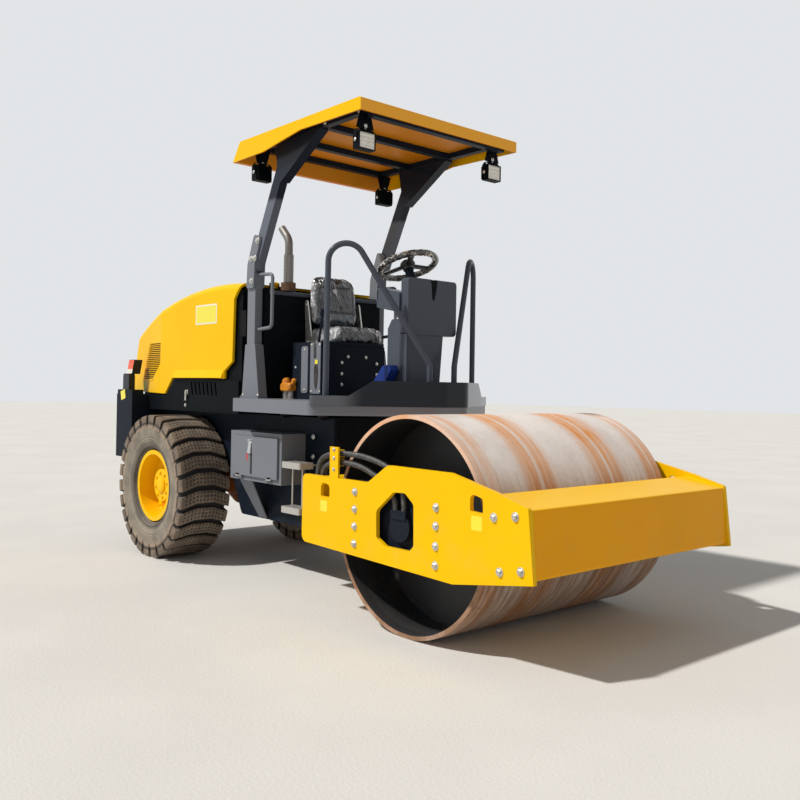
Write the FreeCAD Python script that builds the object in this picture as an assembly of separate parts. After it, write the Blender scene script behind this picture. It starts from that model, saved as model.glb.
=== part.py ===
import FreeCAD, Part
import math
import os

V = FreeCAD.Vector

# Road roller with one smooth drum in front and two tyres behind, hinged in the middle.
# Everything is laid out in millimetres from the drum's axle: +X forward, +Y left, +Z up from the ground.
# The last lines shift the whole machine so that X = 0 is the middle of its length.

# Overall reach from the drum's axle
NOSE_REACH = 960.0
REAR_REACH = 4000.0
WHEELBASE = 2930.0
PIVOT_BACK = 1050.0

# Clearances
RUN_GAP = 0.05
SEAT_GAP = 0.3
MOVE_GAP = 8.0

# Drum
DRUM_DIA = 1200.0
DRUM_WIDTH = 1580.0
DRUM_SHELL = 22.0
DRUM_RECESS = 300.0
DRUM_HEAD = 25.0
DRUM_BOSS_R = 150.0
DRUM_BOSS = 60.0
DRUM_BORE_R = 95.0

# Front frame
FRAME_GAP = 63.0
PLATE_T = 25.0
BEAM_BACK_X = 655.0
REAR_BEAM_X0 = -833.0
REAR_BEAM_X1 = -680.0
REAR_BEAM_Z0 = 430.0
REAR_BEAM_Z1 = 800.0
BEAM_TOP_R = 12.0
SCRAPER_GAP = 18.0
SCRAPER_DROP = 120.0
SCRAPER_T = 16.0
SCRAPER_INSET = 40.0
SUPPORT_T = 18.0
SUPPORT_X0 = -370.0
SUPPORT_X1 = 350.0
SUPPORT_HALF_Z = 220.0
SUPPORT_PAD = 60.0
CARRIER_T = 20.0
BUFFER_R = 45.0
BUFFER_RING_R = 165.0
BUFFER_LEN = 76.0
BUFFER_COUNT = 8
MOTOR_R = 80.0
PORT_X0 = -66.0
PORT_X1 = 56.0
PORT_LOW = 40.0
PORT_HIGH = 88.0
POST_X = -540.0
POST_WIDTH = 80.0
POST_T = 12.0
POST_TOP = 997.0
POST_FOOT = 820.0
HOSE_R = 17.0
HOSE_BEND = 90.0

# Middle joint
HITCH_Z = 600.0
HOUSING_R = 150.0
HOUSING_OUT = 47.0
TRUNNION_R = 80.0
TRUNNION_END = -705.0
YOKE_HALF_W = 85.0
YOKE_HALF_H = 120.0
YOKE_BACK = 90.0
FLANGE_R = 140.0
FLANGE_T = 27.0
PIN_R = 45.0
PIN_HEAD_R = 70.0
PIN_HEAD_T = 15.0
WASHER_T = 14.7
EAR_T = 40.0
EAR_R = 110.0
EYE_FORWARD = 100.0
EYE_SIDE = 225.0
EYE_R = 34.0
EYE_GAP = 44.0
ARM_T = 18.0

# Steering cylinders
ANCHOR_BACK = 620.0
ANCHOR_SIDE = 300.0
BARREL_R = 36.0
BARREL_LEN = 400.0
ROD_R = 18.0
ANCHOR_PIN_R = 16.0
BARREL_AHEAD = 50.0

# Rear frame
CHASSIS_HALF = 450.0
CHASSIS_T = 20.0
CHASSIS_TOP = 1135.0
CHASSIS_LOW = 380.0
CHASSIS_ARCH = 720.0
CHASSIS_FRONT = -1110.0
CHASSIS_STEP = -2250.0
CHASSIS_ARCH_X = -2420.0
CHASSIS_REAR = -3540.0
CROSS_X = -1240.0
CROSS_T = 25.0
BELLY_T = 20.0
ENGINE_BEAM_H = 40.0

# Rear axle, wheels and tyres
TYRE_DIA = 1102.0
TYRE_WIDTH = 410.0
TRACK = 1350.0
LUG_COUNT = 26
LUG_DEPTH = 27.0
LUG_LEN = 98.0
LUG_ROOT_R = 452.0
LUG_BEND_Y = 70.0
LUG_SWEEP = 22.0
RIM_SEAT_R = 254.0
RIM_FLANGE_R = 277.0
RIM_WIDTH = 330.0
RIM_WALL = 10.0
DISC_OUT = 31.0
DISC_T = 16.0
HUB_R = 125.0
HUB_OUT = 95.0
HUB_IN = 35.0
SPINDLE_R = 70.0
SPINDLE_OUT = 40.0
AXLE_TUBE_R = 90.0
DIFF_R = 190.0
DIFF_HALF = 130.0

# Operator's platform
FLOOR_Z = 1255.0
PLATFORM_T = 90.0
FLOOR_T = 15.0
PLATFORM_HALF = 790.0
PLATFORM_KINK = -920.0
PLATFORM_NOSE = -440.0
NOSE_HALF = 130.0
NOSE_R = 110.0
PLATFORM_CORNER = -1830.0
PLATFORM_REAR = -2050.0
PLATFORM_REAR_HALF = 640.0
PLATFORM_RIM = 45.0
RIB_XS = (-1250.0, -1700.0)
RIB_WIDTH = 80.0
MOUNT_R = 35.0
SKIRT_T = 6.0
SKIRT_TOP = 1385.0
SKIRT_LOW = 1290.0
SKIRT_LAP = 30.0
SKIRT_RISE_X0 = -777.0
SKIRT_RISE_X1 = -691.0

# Handrails
RAIL_R = 19.0
RAIL_BACK = (-936.0, 657.0)
RAIL_FRONT = (-564.0, 107.0)
RAIL_PEAK_Z = 2533.0
RAIL_PEAK_R = 115.0
RAIL_KNEE_Z = 1490.0
RAIL_KNEE_R = 60.0

# Roll-over posts and canopy
POST_SIDE = 570.0
ROPS_DEPTH = 100.0
ROPS_WIDTH = 60.0
ROPS_X = -1920.0
ROPS_LOW_TOP = 2150.0
ROPS_LEAN_X = -1487.0
FOOT_X0 = -2030.0
FOOT_X1 = -1790.0
FOOT_T = 15.0
SLEEVE_TOP = 1640.0
SLEEVE_T = 5.0
HINGE_T = 15.0
GRAB_R = 12.5
GRAB_REACH = 180.0
GRAB_LOW = 1745.0
GRAB_HIGH = 2138.0
ROOF_FRONT = -577.0
ROOF_TOP_REAR = -1956.0
ROOF_REAR = -2050.0
ROOF_HALF = 697.0
ROOF_TOP = 3082.0
ROOF_T = 12.0
ROOF_TUBE_H = 40.0
ROOF_TUBE_W = 50.0
ROOF_CROSS_XS = (-625.0, -1125.0, -1560.0, -1900.0)
LAMP_W = 130.0
LAMP_H = 110.0
LAMP_D = 50.0
LAMP_Z = 2857.0
LAMP_XS = (-696.0, -1857.0)

# Seat and controls
SEAT_FRONT = -1385.0
SEAT_BACK_X = -1830.0
SEAT_HALF = 232.0
SEAT_BASE_TOP = 1640.0
SEAT_PAN = 22.0
CUSHION_T = 110.0
BACK_T = 80.0
BACK_H = 400.0
BACK_LEAN = 5.0
CONSOLE_X = -662.0
CONSOLE_HALF = 215.0
CONSOLE_TOP = 2055.0
CONSOLE_LOW = 1690.0
CONSOLE_T = 70.0
PEDESTAL_BACK = -860.0
PEDESTAL_TOP = 1790.0
LEVER_BOX_X0 = -1640.0
LEVER_BOX_X1 = -1300.0
LEVER_BOX_Y0 = -425.0
LEVER_BOX_Y1 = -300.0
LEVER_BOX_TOP = 1650.0
LEVER_X = -1420.0
LEVER_LEAN = 40.0
LEVER_LEN = 200.0
PEDAL_X = -820.0
PEDAL_Y0 = -305.0
PEDAL_Y1 = -235.0
DASH_BACK = -960.0
DASH_LIFT = 40.0
DASH_DEPTH = 130.0
DASH_RISE = 45.0
DASH_Y0 = -230.0
DASH_Y1 = -60.0
WHEEL_X = -914.0
WHEEL_Z = 2170.0
WHEEL_R = 191.0
WHEEL_RIM_R = 14.0
WHEEL_LEAN = 21.0
COLUMN_R = 30.0
COLUMN_LEN = 400.0

# Engine bay
COWL_FRONT = -1840.0
COWL_HALF = 530.0
COWL_TOP = 2040.0
SHROUD_BACK = -2260.0
SHROUD_HALF = 590.0
HOOD_HALF = 620.0
HOOD_TAIL_HALF = 540.0
HOOD_TAPER_X = -3290.0
HOOD_WALL = 20.0
HOOD_FRONT = -2030.0
HOOD_TOP = 2090.0
HOOD_EDGE_R = 55.0
HOOD_LOW = 1392.0
HOOD_LOW_BACK = 1412.0
HOOD_STEP_X0 = -3206.0
HOOD_STEP_X1 = -3064.0
HOOD_MOUTH_X = -2250.0
HOOD_TAIL_LOW = 1268.0
HOOD_TAIL_END = 1283.0
HOOD_TAIL_TOP_X = -3817.0
HOOD_TAIL_TOP_Z = 1788.0
GRILLE_LOW = 1390.0
GRILLE_BACK = -3710.0
GRILLE_BACK_LEAN = 0.53
GRILLE_KNEE = -3470.0
GRILLE_KNEE_LEAN = 1.4
GRILLE_FRONT = -3300.0
GRILLE_COUNT = 19
GRILLE_PITCH = 16.0
GRILLE_SLOT = 9.5
FLARE_X0 = -3040.0
FLARE_X1 = -2262.0
FLARE_TOP = 1462.0
FLARE_OUT = 20.0
LOUVRE_X0 = -2760.0
LOUVRE_COUNT = 7
LOUVRE_PITCH = 62.0
LOUVRE_W = 22.0
LOUVRE_LOW = 1265.0
LOUVRE_HIGH = 1365.0
LOUVRE_SLANT = 26.0
HOOD_MID_X = -3050.0
HOOD_MID_Z = 2032.0
HINGE_X = -2010.0
HINGE_Z = 2100.0
HINGE_PIN_R = 8.0
HINGE_YS = (-350.0, 350.0)
HINGE_HALF = 40.0
HINGE_EAR = 10.0
HINGE_LEAF_HALF = 28.0
DECK_HALF = 610.0
DECK_T = 15.0
DECK_WALL = 12.0
ENGINE_X0 = -3350.0
ENGINE_X1 = -2480.0
ENGINE_HALF = 300.0
ENGINE_Z0 = 900.0
ENGINE_Z1 = 1760.0
RADIATOR_T = 110.0
RADIATOR_HALF = 420.0
RADIATOR_TOP = 1760.0
BUMPER_HALF = 750.0
BUMPER_BACK = -3985.0
BUMPER_FRONT = -3540.0
BUMPER_LOW = 720.0
BUMPER_TOP = 1258.0
BUMPER_CHAMFER = 135.0
WING_W = 100.0
WING_H = 37.0
TOW_SLOT_W = 120.0
TOW_SLOT_D = 90.0
TOW_EAR_T = 60.0
TAIL_LAMP_X = -3745.0
TAIL_LAMP_D = 100.0
TAIL_LAMP_W = 75.0
TAIL_LAMP_LEAN = 45.0
TAIL_LAMP_Z0 = 1429.0
TAIL_LAMP_H = 121.0
TOW_HOLE_R = 18.0
EXHAUST_X = -1930.0
EXHAUST_Y = -280.0
EXHAUST_R = 29.0
EXHAUST_FOOT_R = 55.0
EXHAUST_FOOT_H = 70.0
EXHAUST_BEND_Z = 2430.0
EXHAUST_HOOK = 95.0
EXHAUST_BEND_R = 110.0

# Side boxes and steps
BOX_X0 = -2090.0
BOX_X1 = -1432.0
BOX_OUT = 645.0
BOX_Z0 = 675.0
BOX_Z1 = 1020.0
BOX_WALL = 14.0
DOOR_T = 14.0
DOOR_RIM = 32.0
DOOR_GAP = 2.0
DOOR_HINGE_UP = 20.0
DOOR_HINGE_IN = 150.0
DOOR_HINGE_HALF = 30.0
DOOR_PIN_R = 5.0
DOOR_PIN_OUT = 9.0
STEP_X0 = -1420.0
STEP_X1 = -1208.0
STEP_IN = 540.0
STEP_OUT = 655.0
STEP_T = 42.0
STEP_ZS = (842.0, 545.0)

PLATE_IN = DRUM_WIDTH / 2 + FRAME_GAP
PLATE_OUT = PLATE_IN + PLATE_T
DRUM_R = DRUM_DIA / 2
TYRE_R = TYRE_DIA / 2
HEAD_OUT = DRUM_WIDTH / 2 - DRUM_RECESS
SUPPORT_IN = DRUM_WIDTH / 2 + MOVE_GAP
SUPPORT_OUT = SUPPORT_IN + SUPPORT_T
CARRIER_OUT = SUPPORT_IN - BUFFER_LEN
CARRIER_IN = CARRIER_OUT - CARRIER_T
DASH_FRONT = CONSOLE_X - CONSOLE_T - SEAT_GAP
LUG_ANGLE = 2 * math.pi / LUG_COUNT
LUG_REACH = LUG_SWEEP + LUG_LEN / 2
LUG_TOP = (TYRE_R - LUG_REACH * math.sin(LUG_ANGLE)) / math.cos(LUG_ANGLE)


def rounded_wire(points, place):
    """Closed outline through (u, v, radius) corners, each corner turned by an arc of its radius."""
    count = len(points)
    starts = []
    ends = []
    mids = []
    for i in range(count):
        u, v, radius = points[i]
        before = points[i - 1]
        after = points[(i + 1) % count]
        a = V(before[0] - u, before[1] - v, 0)
        b = V(after[0] - u, after[1] - v, 0)
        corner = V(u, v, 0)
        if radius <= 0:
            starts.append(corner)
            ends.append(corner)
            mids.append(None)
            continue
        half = a.getAngle(b) / 2
        length = radius / math.tan(half)
        a.normalize()
        b.normalize()
        bisector = a + b
        bisector.normalize()
        centre = corner + bisector * (radius / math.sin(half))
        starts.append(corner + a * length)
        ends.append(corner + b * length)
        mids.append(centre - bisector * radius)
    edges = []
    for i in range(count):
        if mids[i] is not None:
            arc = Part.Arc(*[place(p.x, p.y) for p in (starts[i], mids[i], ends[i])])
            edges.append(arc.toShape())
        tail = ends[i]
        head = starts[(i + 1) % count]
        if (head - tail).Length > 1e-6:
            edges.append(Part.LineSegment(place(tail.x, tail.y), place(head.x, head.y)).toShape())
    return Part.Wire(edges)


def plate_y(points, y0, y1):
    """Plate with an outline of (x, z, radius) corners, from y0 to y1."""
    wire = rounded_wire(points, lambda u, v: V(u, y0, v))
    return Part.Face(wire).extrude(V(0, y1 - y0, 0))


def plate_z(points, z0, z1):
    """Plate with an outline of (x, y, radius) corners, from z0 to z1."""
    wire = rounded_wire(points, lambda u, v: V(u, v, z0))
    return Part.Face(wire).extrude(V(0, 0, z1 - z0))


def plate_x(points, x0, x1):
    """Plate with an outline of (y, z, radius) corners, from x0 to x1."""
    wire = rounded_wire(points, lambda u, v: V(x0, u, v))
    return Part.Face(wire).extrude(V(x1 - x0, 0, 0))


def block(x0, x1, y0, y1, z0, z1):
    """Box between two opposite corners."""
    return Part.makeBox(x1 - x0, y1 - y0, z1 - z0, V(x0, y0, z0))


def rod(start, end, radius):
    """Round bar between two points."""
    return Part.makeCylinder(radius, (end - start).Length, start, end - start)


def turned(profile, x, z):
    """Solid turned about the line along Y through (x, z), from (radius, y) corners."""
    points = [V(x + r, y, z) for r, y in profile]
    face = Part.Face(Part.makePolygon(points + points[:1]))
    return face.revolve(V(x, 0, z), V(0, 1, 0), 360)


def tube_path(points, bends):
    """Wire of straight runs through the points, joined by tangent arcs of the given radii."""
    edges = []
    tail = points[0]
    for i, radius in enumerate(bends, 1):
        corner = points[i]
        a = (points[i - 1] - corner).normalize()
        b = (points[i + 1] - corner).normalize()
        half = a.getAngle(b) / 2
        length = radius / math.tan(half)
        bisector = (a + b).normalize()
        middle = corner + bisector * (radius / math.sin(half) - radius)
        edges.append(Part.LineSegment(tail, corner + a * length).toShape())
        edges.append(Part.Arc(corner + a * length, middle, corner + b * length).toShape())
        tail = corner + b * length
    edges.append(Part.LineSegment(tail, points[-1]).toShape())
    return Part.Wire(edges)


def pipe(points, bends, radius):
    """Round bar bent along a path of straight runs and tangent arcs."""
    path = tube_path(points, bends)
    section = Part.Wire(Part.makeCircle(radius, points[0], points[1] - points[0]))
    return path.makePipeShell([section], True, False)


def joined(shapes):
    """One solid from pieces that are welded or cast together."""
    whole = shapes[0].fuse(shapes[1:])
    return whole.removeSplitter()


def mirrored(shape):
    """The same piece on the other side of the machine."""
    return shape.mirror(V(0, 0, 0), V(0, 1, 0))


def on_both(shape):
    """A piece and its mirror image, kept apart in one node."""
    return Part.makeCompound([shape, mirrored(shape)])


NODES = {}


# Drum: rolled shell, two recessed heads and their bosses, one turned form
def make_drum():
    r = DRUM_R - DRUM_SHELL
    end = DRUM_WIDTH / 2
    inner = HEAD_OUT - DRUM_HEAD
    boss = HEAD_OUT + DRUM_BOSS
    half = [(r, end), (r, HEAD_OUT), (DRUM_BOSS_R, HEAD_OUT), (DRUM_BOSS_R, boss),
            (DRUM_BORE_R, boss), (DRUM_BORE_R, inner), (r, inner)]
    left = [(radius, y) for radius, y in half]
    right = [(radius, -y) for radius, y in reversed(half)]
    profile = [(DRUM_R, -end), (DRUM_R, end)] + left + right
    return turned(profile, 0, DRUM_R)


NODES["drum"] = make_drum()


# Front frame: two cut plates, a beam in front and one behind, welded into a ring round the drum
def make_side_plate():
    edge = [(-848, 820, 35), (-850, 414, 45), (443, 378, 30), (NOSE_REACH, 460, 0), (923, 804, 20),
            (718, 859, 30), (417, 925, 40), (-63, 927, 60), (-230, 820, 60)]
    plate = plate_y(edge, -PLATE_OUT, -PLATE_IN)
    window = [(-148, 527, 25), (-152, 674, 40), (-12, 787, 35), (80, 791, 35), (149, 739, 30),
              (154, 524, 25), (122, 492, 20), (-75, 491, 20)]
    rear_slot = [(-662, 701, 12), (-662, 787, 30), (-578, 772, 25), (-578, 701, 12)]
    front_slot = [(557, 752, 12), (557, 839, 25), (641, 820, 20), (643, 747, 12)]
    for hole in (window, rear_slot, front_slot):
        plate = plate.cut(plate_y(hole, -PLATE_OUT - 1, -PLATE_IN + 1))
    return plate


NODES["frame_side_right"] = make_side_plate()
NODES["frame_side_left"] = mirrored(NODES["frame_side_right"])


def make_front_beam():
    profile = [(BEAM_BACK_X, 842, BEAM_TOP_R), (NOSE_REACH - 37, 794, BEAM_TOP_R),
               (NOSE_REACH - 16, 472, BEAM_TOP_R), (BEAM_BACK_X, 472, BEAM_TOP_R)]
    return plate_y(profile, -PLATE_IN, PLATE_IN)


NODES["front_beam"] = make_front_beam()


def make_rear_beam():
    profile = [(REAR_BEAM_X0, REAR_BEAM_Z0, BEAM_TOP_R), (REAR_BEAM_X1, REAR_BEAM_Z0, BEAM_TOP_R),
               (REAR_BEAM_X1, REAR_BEAM_Z1, BEAM_TOP_R), (REAR_BEAM_X0, REAR_BEAM_Z1, BEAM_TOP_R)]
    beam = plate_y(profile, -PLATE_IN, PLATE_IN)
    back = REAR_BEAM_X0 - HOUSING_OUT
    housing = rod(V(back, 0, HITCH_Z), V(REAR_BEAM_X0 + 5, 0, HITCH_Z), HOUSING_R)
    bore = rod(V(back - 1, 0, HITCH_Z), V(TRUNNION_END + 5, 0, HITCH_Z), TRUNNION_R)
    return joined([beam, housing]).cut(bore)


NODES["rear_beam"] = make_rear_beam()


# Drum supports: a plate bolted inside each side plate carries the hub through rubber buffers
def make_drum_support():
    low = DRUM_R - SUPPORT_HALF_Z
    high = DRUM_R + SUPPORT_HALF_Z
    plate = block(SUPPORT_X0, SUPPORT_X1, -SUPPORT_OUT, -SUPPORT_IN, low, high)
    pads = [block(x, x + SUPPORT_PAD, -PLATE_IN, -SUPPORT_OUT, low + 20, high - 20)
            for x in (SUPPORT_X0, SUPPORT_X1 - SUPPORT_PAD)]
    motor = rod(V(0, -PLATE_IN + 10, DRUM_R), V(0, -SUPPORT_OUT, DRUM_R), MOTOR_R)
    ports = block(PORT_X0, PORT_X1, -PLATE_IN + 2, -SUPPORT_OUT, DRUM_R + PORT_LOW, DRUM_R + PORT_HIGH)
    return joined([plate, motor, ports] + pads)


def make_drum_hub():
    outer = BUFFER_RING_R + BUFFER_R + 15
    boss_face = HEAD_OUT + DRUM_BOSS + MOVE_GAP
    carrier = rod(V(0, -CARRIER_OUT, DRUM_R), V(0, -CARRIER_IN, DRUM_R), outer)
    gearbox = rod(V(0, -CARRIER_IN, DRUM_R), V(0, -boss_face, DRUM_R), DRUM_BOSS_R - 10)
    shaft = rod(V(0, -CARRIER_IN, DRUM_R), V(0, -HEAD_OUT + DRUM_HEAD, DRUM_R), DRUM_BORE_R - RUN_GAP)
    return joined([carrier, gearbox, shaft])


def make_buffers():
    cylinders = []
    for i in range(BUFFER_COUNT):
        angle = 2 * math.pi * (i + 0.5) / BUFFER_COUNT
        x = BUFFER_RING_R * math.cos(angle)
        z = DRUM_R + BUFFER_RING_R * math.sin(angle)
        cylinders.append(rod(V(x, -SUPPORT_IN, z), V(x, -CARRIER_OUT, z), BUFFER_R))
    return cylinders


NODES["drum_supports"] = on_both(make_drum_support())
NODES["drum_hubs"] = on_both(make_drum_hub())
NODES["drum_buffers"] = on_both(Part.makeCompound(make_buffers()))


# Scraper bars just clear of the drum, one on each beam
def make_scrapers():
    z = DRUM_R - SCRAPER_DROP
    reach = math.sqrt(DRUM_R ** 2 - SCRAPER_DROP ** 2) + SCRAPER_GAP
    half = DRUM_WIDTH / 2 - SCRAPER_INSET
    front = block(reach, BEAM_BACK_X, -half, half, z, z + SCRAPER_T)
    back = block(REAR_BEAM_X1, -reach, -half, half, z, z + SCRAPER_T)
    return Part.makeCompound([front, back])


NODES["scrapers"] = make_scrapers()


# Hose post on the right plate, with two clamp blocks, and the two hoses that feed the drum's motor
HOSE_Y = -(PLATE_IN - 1.5 - HOSE_R)
PORT_TOP = DRUM_R + PORT_HIGH
HOSE_ROUTES = (
    ((-752, 800.3), (-752, 905), (-610, 957), (-330, 962), (-60, 905), (30, 790), (30, PORT_TOP + SEAT_GAP)),
    ((-702, 800.3), (-702, 868), (-590, 905), (-380, 908), (-190, 850), (-40, 770), (-40, PORT_TOP + SEAT_GAP)),
)


def make_hose_post():
    bar = block(POST_X - POST_WIDTH / 2, POST_X + POST_WIDTH / 2, -PLATE_OUT, -PLATE_OUT + POST_T,
                POST_FOOT, POST_TOP)
    clamps = []
    for z in (905.0, 958.0):
        inner = HOSE_Y + HOSE_R + 5
        clamp = block(POST_X - 14, POST_X + 14, -PLATE_OUT + POST_T, inner, z - HOSE_R - 5, z + HOSE_R + 5)
        clamps.append(clamp)
    holes = [make_hose(route, HOSE_R + SEAT_GAP) for route in HOSE_ROUTES]
    return joined([bar] + clamps).cut(holes[0]).cut(holes[1])


def make_hose(route, radius):
    points = [V(x, HOSE_Y, z) for x, z in route]
    return pipe(points, [HOSE_BEND * 0.7] + [HOSE_BEND] * (len(points) - 3), radius)


NODES["hose_post"] = make_hose_post()
NODES["drum_hoses"] = Part.makeCompound([make_hose(route, HOSE_R) for route in HOSE_ROUTES])


# Middle joint: a yoke that steers on an upright pin and lets the front frame roll on a trunnion
def make_yoke():
    x = -PIVOT_BACK
    flange_front = REAR_BEAM_X0 - HOUSING_OUT - MOVE_GAP
    flange_back = flange_front - FLANGE_T
    low = HITCH_Z - YOKE_HALF_H
    high = HITCH_Z + YOKE_HALF_H
    body = block(x - YOKE_BACK, flange_back, -YOKE_HALF_W, YOKE_HALF_W, low, high)
    flange = rod(V(flange_back, 0, HITCH_Z), V(flange_front, 0, HITCH_Z), FLANGE_R)
    trunnion = rod(V(flange_back, 0, HITCH_Z), V(TRUNNION_END, 0, HITCH_Z), TRUNNION_R - RUN_GAP)
    washers = [rod(V(x, 0, low - WASHER_T), V(x, 0, low), PIN_HEAD_R + 5),
               rod(V(x, 0, high), V(x, 0, high + WASHER_T), PIN_HEAD_R + 5)]
    eye_x = x + EYE_FORWARD
    arm = [(x - 40, 0, 0), (x + 120, 0, 0), (eye_x + 37, EYE_SIDE - 20, 10),
           (eye_x + 34, EYE_SIDE + 36, 28), (eye_x - 34, EYE_SIDE + 36, 28), (eye_x - 50, EYE_SIDE - 30, 20)]
    arms = []
    for side in (1, -1):
        outline = [(px, py * side, r) for px, py, r in arm]
        for z in (HITCH_Z - EYE_GAP / 2 - ARM_T, HITCH_Z + EYE_GAP / 2):
            arms.append(plate_z(outline, z, z + ARM_T))
            head_z = z - 10 if z < HITCH_Z else z + ARM_T
            centre = V(eye_x, side * EYE_SIDE, head_z)
            arms.append(rod(centre, centre + V(0, 0, 10), 22))
    bore = rod(V(x, 0, low - 50), V(x, 0, high + 50), PIN_R)
    return joined([body, flange, trunnion] + washers + arms).cut(bore)


NODES["yoke"] = make_yoke()


def make_hitch_pin():
    x = -PIVOT_BACK
    top = HITCH_Z + YOKE_HALF_H + WASHER_T + SEAT_GAP + EAR_T
    low = 2 * HITCH_Z - top
    pin = rod(V(x, 0, low), V(x, 0, top), PIN_R - RUN_GAP)
    heads = [rod(V(x, 0, top), V(x, 0, top + PIN_HEAD_T), PIN_HEAD_R),
             rod(V(x, 0, low - PIN_HEAD_T), V(x, 0, low), PIN_HEAD_R)]
    return joined([pin] + heads)


NODES["hitch_pin"] = make_hitch_pin()


# Steering cylinders, one on each side, pinned to the chassis and lying in the yoke's forked arms
ANCHOR_X = -PIVOT_BACK - ANCHOR_BACK
CYLINDER_START = V(ANCHOR_X, -ANCHOR_SIDE, HITCH_Z)
CYLINDER_END = V(-PIVOT_BACK + EYE_FORWARD, -EYE_SIDE, HITCH_Z)
CYLINDER_DIR = (CYLINDER_END - CYLINDER_START).normalize()
EYE_T = EYE_GAP - 2 * SEAT_GAP


def make_barrel():
    begin = CYLINDER_START + CYLINDER_DIR * BARREL_AHEAD
    end = begin + CYLINDER_DIR * BARREL_LEN
    barrel = rod(begin, end, BARREL_R)
    eye = rod(CYLINDER_START - V(0, 0, EYE_T / 2), CYLINDER_START + V(0, 0, EYE_T / 2), EYE_R)
    neck = rod(CYLINDER_START, begin + CYLINDER_DIR, BARREL_R - 16)
    pin_hole = rod(CYLINDER_START - V(0, 0, EYE_T), CYLINDER_START + V(0, 0, EYE_T), ANCHOR_PIN_R)
    slot = rod(begin + CYLINDER_DIR * 20, end + CYLINDER_DIR, ROD_R + RUN_GAP)
    return joined([barrel, neck, eye]).cut(pin_hole).cut(slot)


def make_rod():
    begin = CYLINDER_START + CYLINDER_DIR * (BARREL_AHEAD + 150)
    bar = rod(begin, CYLINDER_END, ROD_R)
    eye = rod(CYLINDER_END - V(0, 0, EYE_T / 2), CYLINDER_END + V(0, 0, EYE_T / 2), EYE_R)
    return joined([bar, eye])


NODES["steer_barrel_right"] = make_barrel()
NODES["steer_barrel_left"] = mirrored(NODES["steer_barrel_right"])
NODES["steer_rod_right"] = make_rod()
NODES["steer_rod_left"] = mirrored(NODES["steer_rod_right"])


# Rear frame: two long plates, cross plates, belly, ears for the pin and anchors for the cylinders
def make_chassis():
    edge = [(CHASSIS_FRONT, CHASSIS_TOP, 0), (CHASSIS_FRONT, CHASSIS_LOW + 60, 0),
            (CHASSIS_FRONT - 70, CHASSIS_LOW, 0), (CHASSIS_STEP, CHASSIS_LOW, 40),
            (CHASSIS_ARCH_X, CHASSIS_ARCH, 60), (CHASSIS_REAR, CHASSIS_ARCH, 0),
            (CHASSIS_REAR, CHASSIS_TOP, 0)]
    inner = CHASSIS_HALF - CHASSIS_T
    right = plate_y(edge, -CHASSIS_HALF, -inner)
    pieces = [right, mirrored(right)]
    cross = block(CROSS_X, CROSS_X + CROSS_T, -inner, inner, CHASSIS_LOW + BELLY_T, CHASSIS_TOP)
    for side in (1, -1):
        low = min(side * 165, side * 400)
        window = block(CROSS_X - 1, CROSS_X + CROSS_T + 1, low, low + 235, HITCH_Z - 75, HITCH_Z + 75)
        cross = cross.cut(window)
    pieces.append(cross)
    pieces.append(block(CHASSIS_REAR, CHASSIS_REAR + BELLY_T, -inner, inner, CHASSIS_ARCH, CHASSIS_TOP))
    pieces.append(block(CHASSIS_STEP, CROSS_X + CROSS_T, -inner, inner, CHASSIS_LOW, CHASSIS_LOW + BELLY_T))
    for x in (ENGINE_X0 + 90, ENGINE_X1 - 90):
        pieces.append(block(x - 40, x + 40, -inner, inner, ENGINE_Z0 - ENGINE_BEAM_H, ENGINE_Z0))
    ear_low = HITCH_Z + YOKE_HALF_H + WASHER_T + SEAT_GAP
    for z in (ear_low, 2 * HITCH_Z - ear_low - EAR_T):
        ear = [(CROSS_X + CROSS_T, -260, 0), (CROSS_X + CROSS_T, 260, 0),
               (-PIVOT_BACK, EAR_R, 0), (-PIVOT_BACK, -EAR_R, 0)]
        tip = rod(V(-PIVOT_BACK, 0, z), V(-PIVOT_BACK, 0, z + EAR_T), EAR_R)
        hole = rod(V(-PIVOT_BACK, 0, z - 1), V(-PIVOT_BACK, 0, z + EAR_T + 1), PIN_R)
        pieces.append(joined([plate_z(ear, z, z + EAR_T), tip]).cut(hole))
    for side in (1, -1):
        y0 = min(side * (ANCHOR_SIDE - 40), side * inner)
        width = inner - ANCHOR_SIDE + 40
        for z in (HITCH_Z - EYE_GAP / 2 - ARM_T, HITCH_Z + EYE_GAP / 2):
            pieces.append(block(ANCHOR_X - 40, ANCHOR_X + 40, y0, y0 + width, z, z + ARM_T))
        pin = V(ANCHOR_X, side * ANCHOR_SIDE, HITCH_Z)
        tall = V(0, 0, EYE_GAP / 2 + ARM_T)
        pieces.append(rod(pin - tall, pin + tall, ANCHOR_PIN_R - RUN_GAP))
        for x in RIB_XS:
            y = side * (CHASSIS_HALF - 10)
            pieces.append(block(x - 45, x + 45, y - 45, y + 45, CHASSIS_TOP - 12, CHASSIS_TOP))
    return joined(pieces)


NODES["chassis"] = make_chassis()


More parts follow.
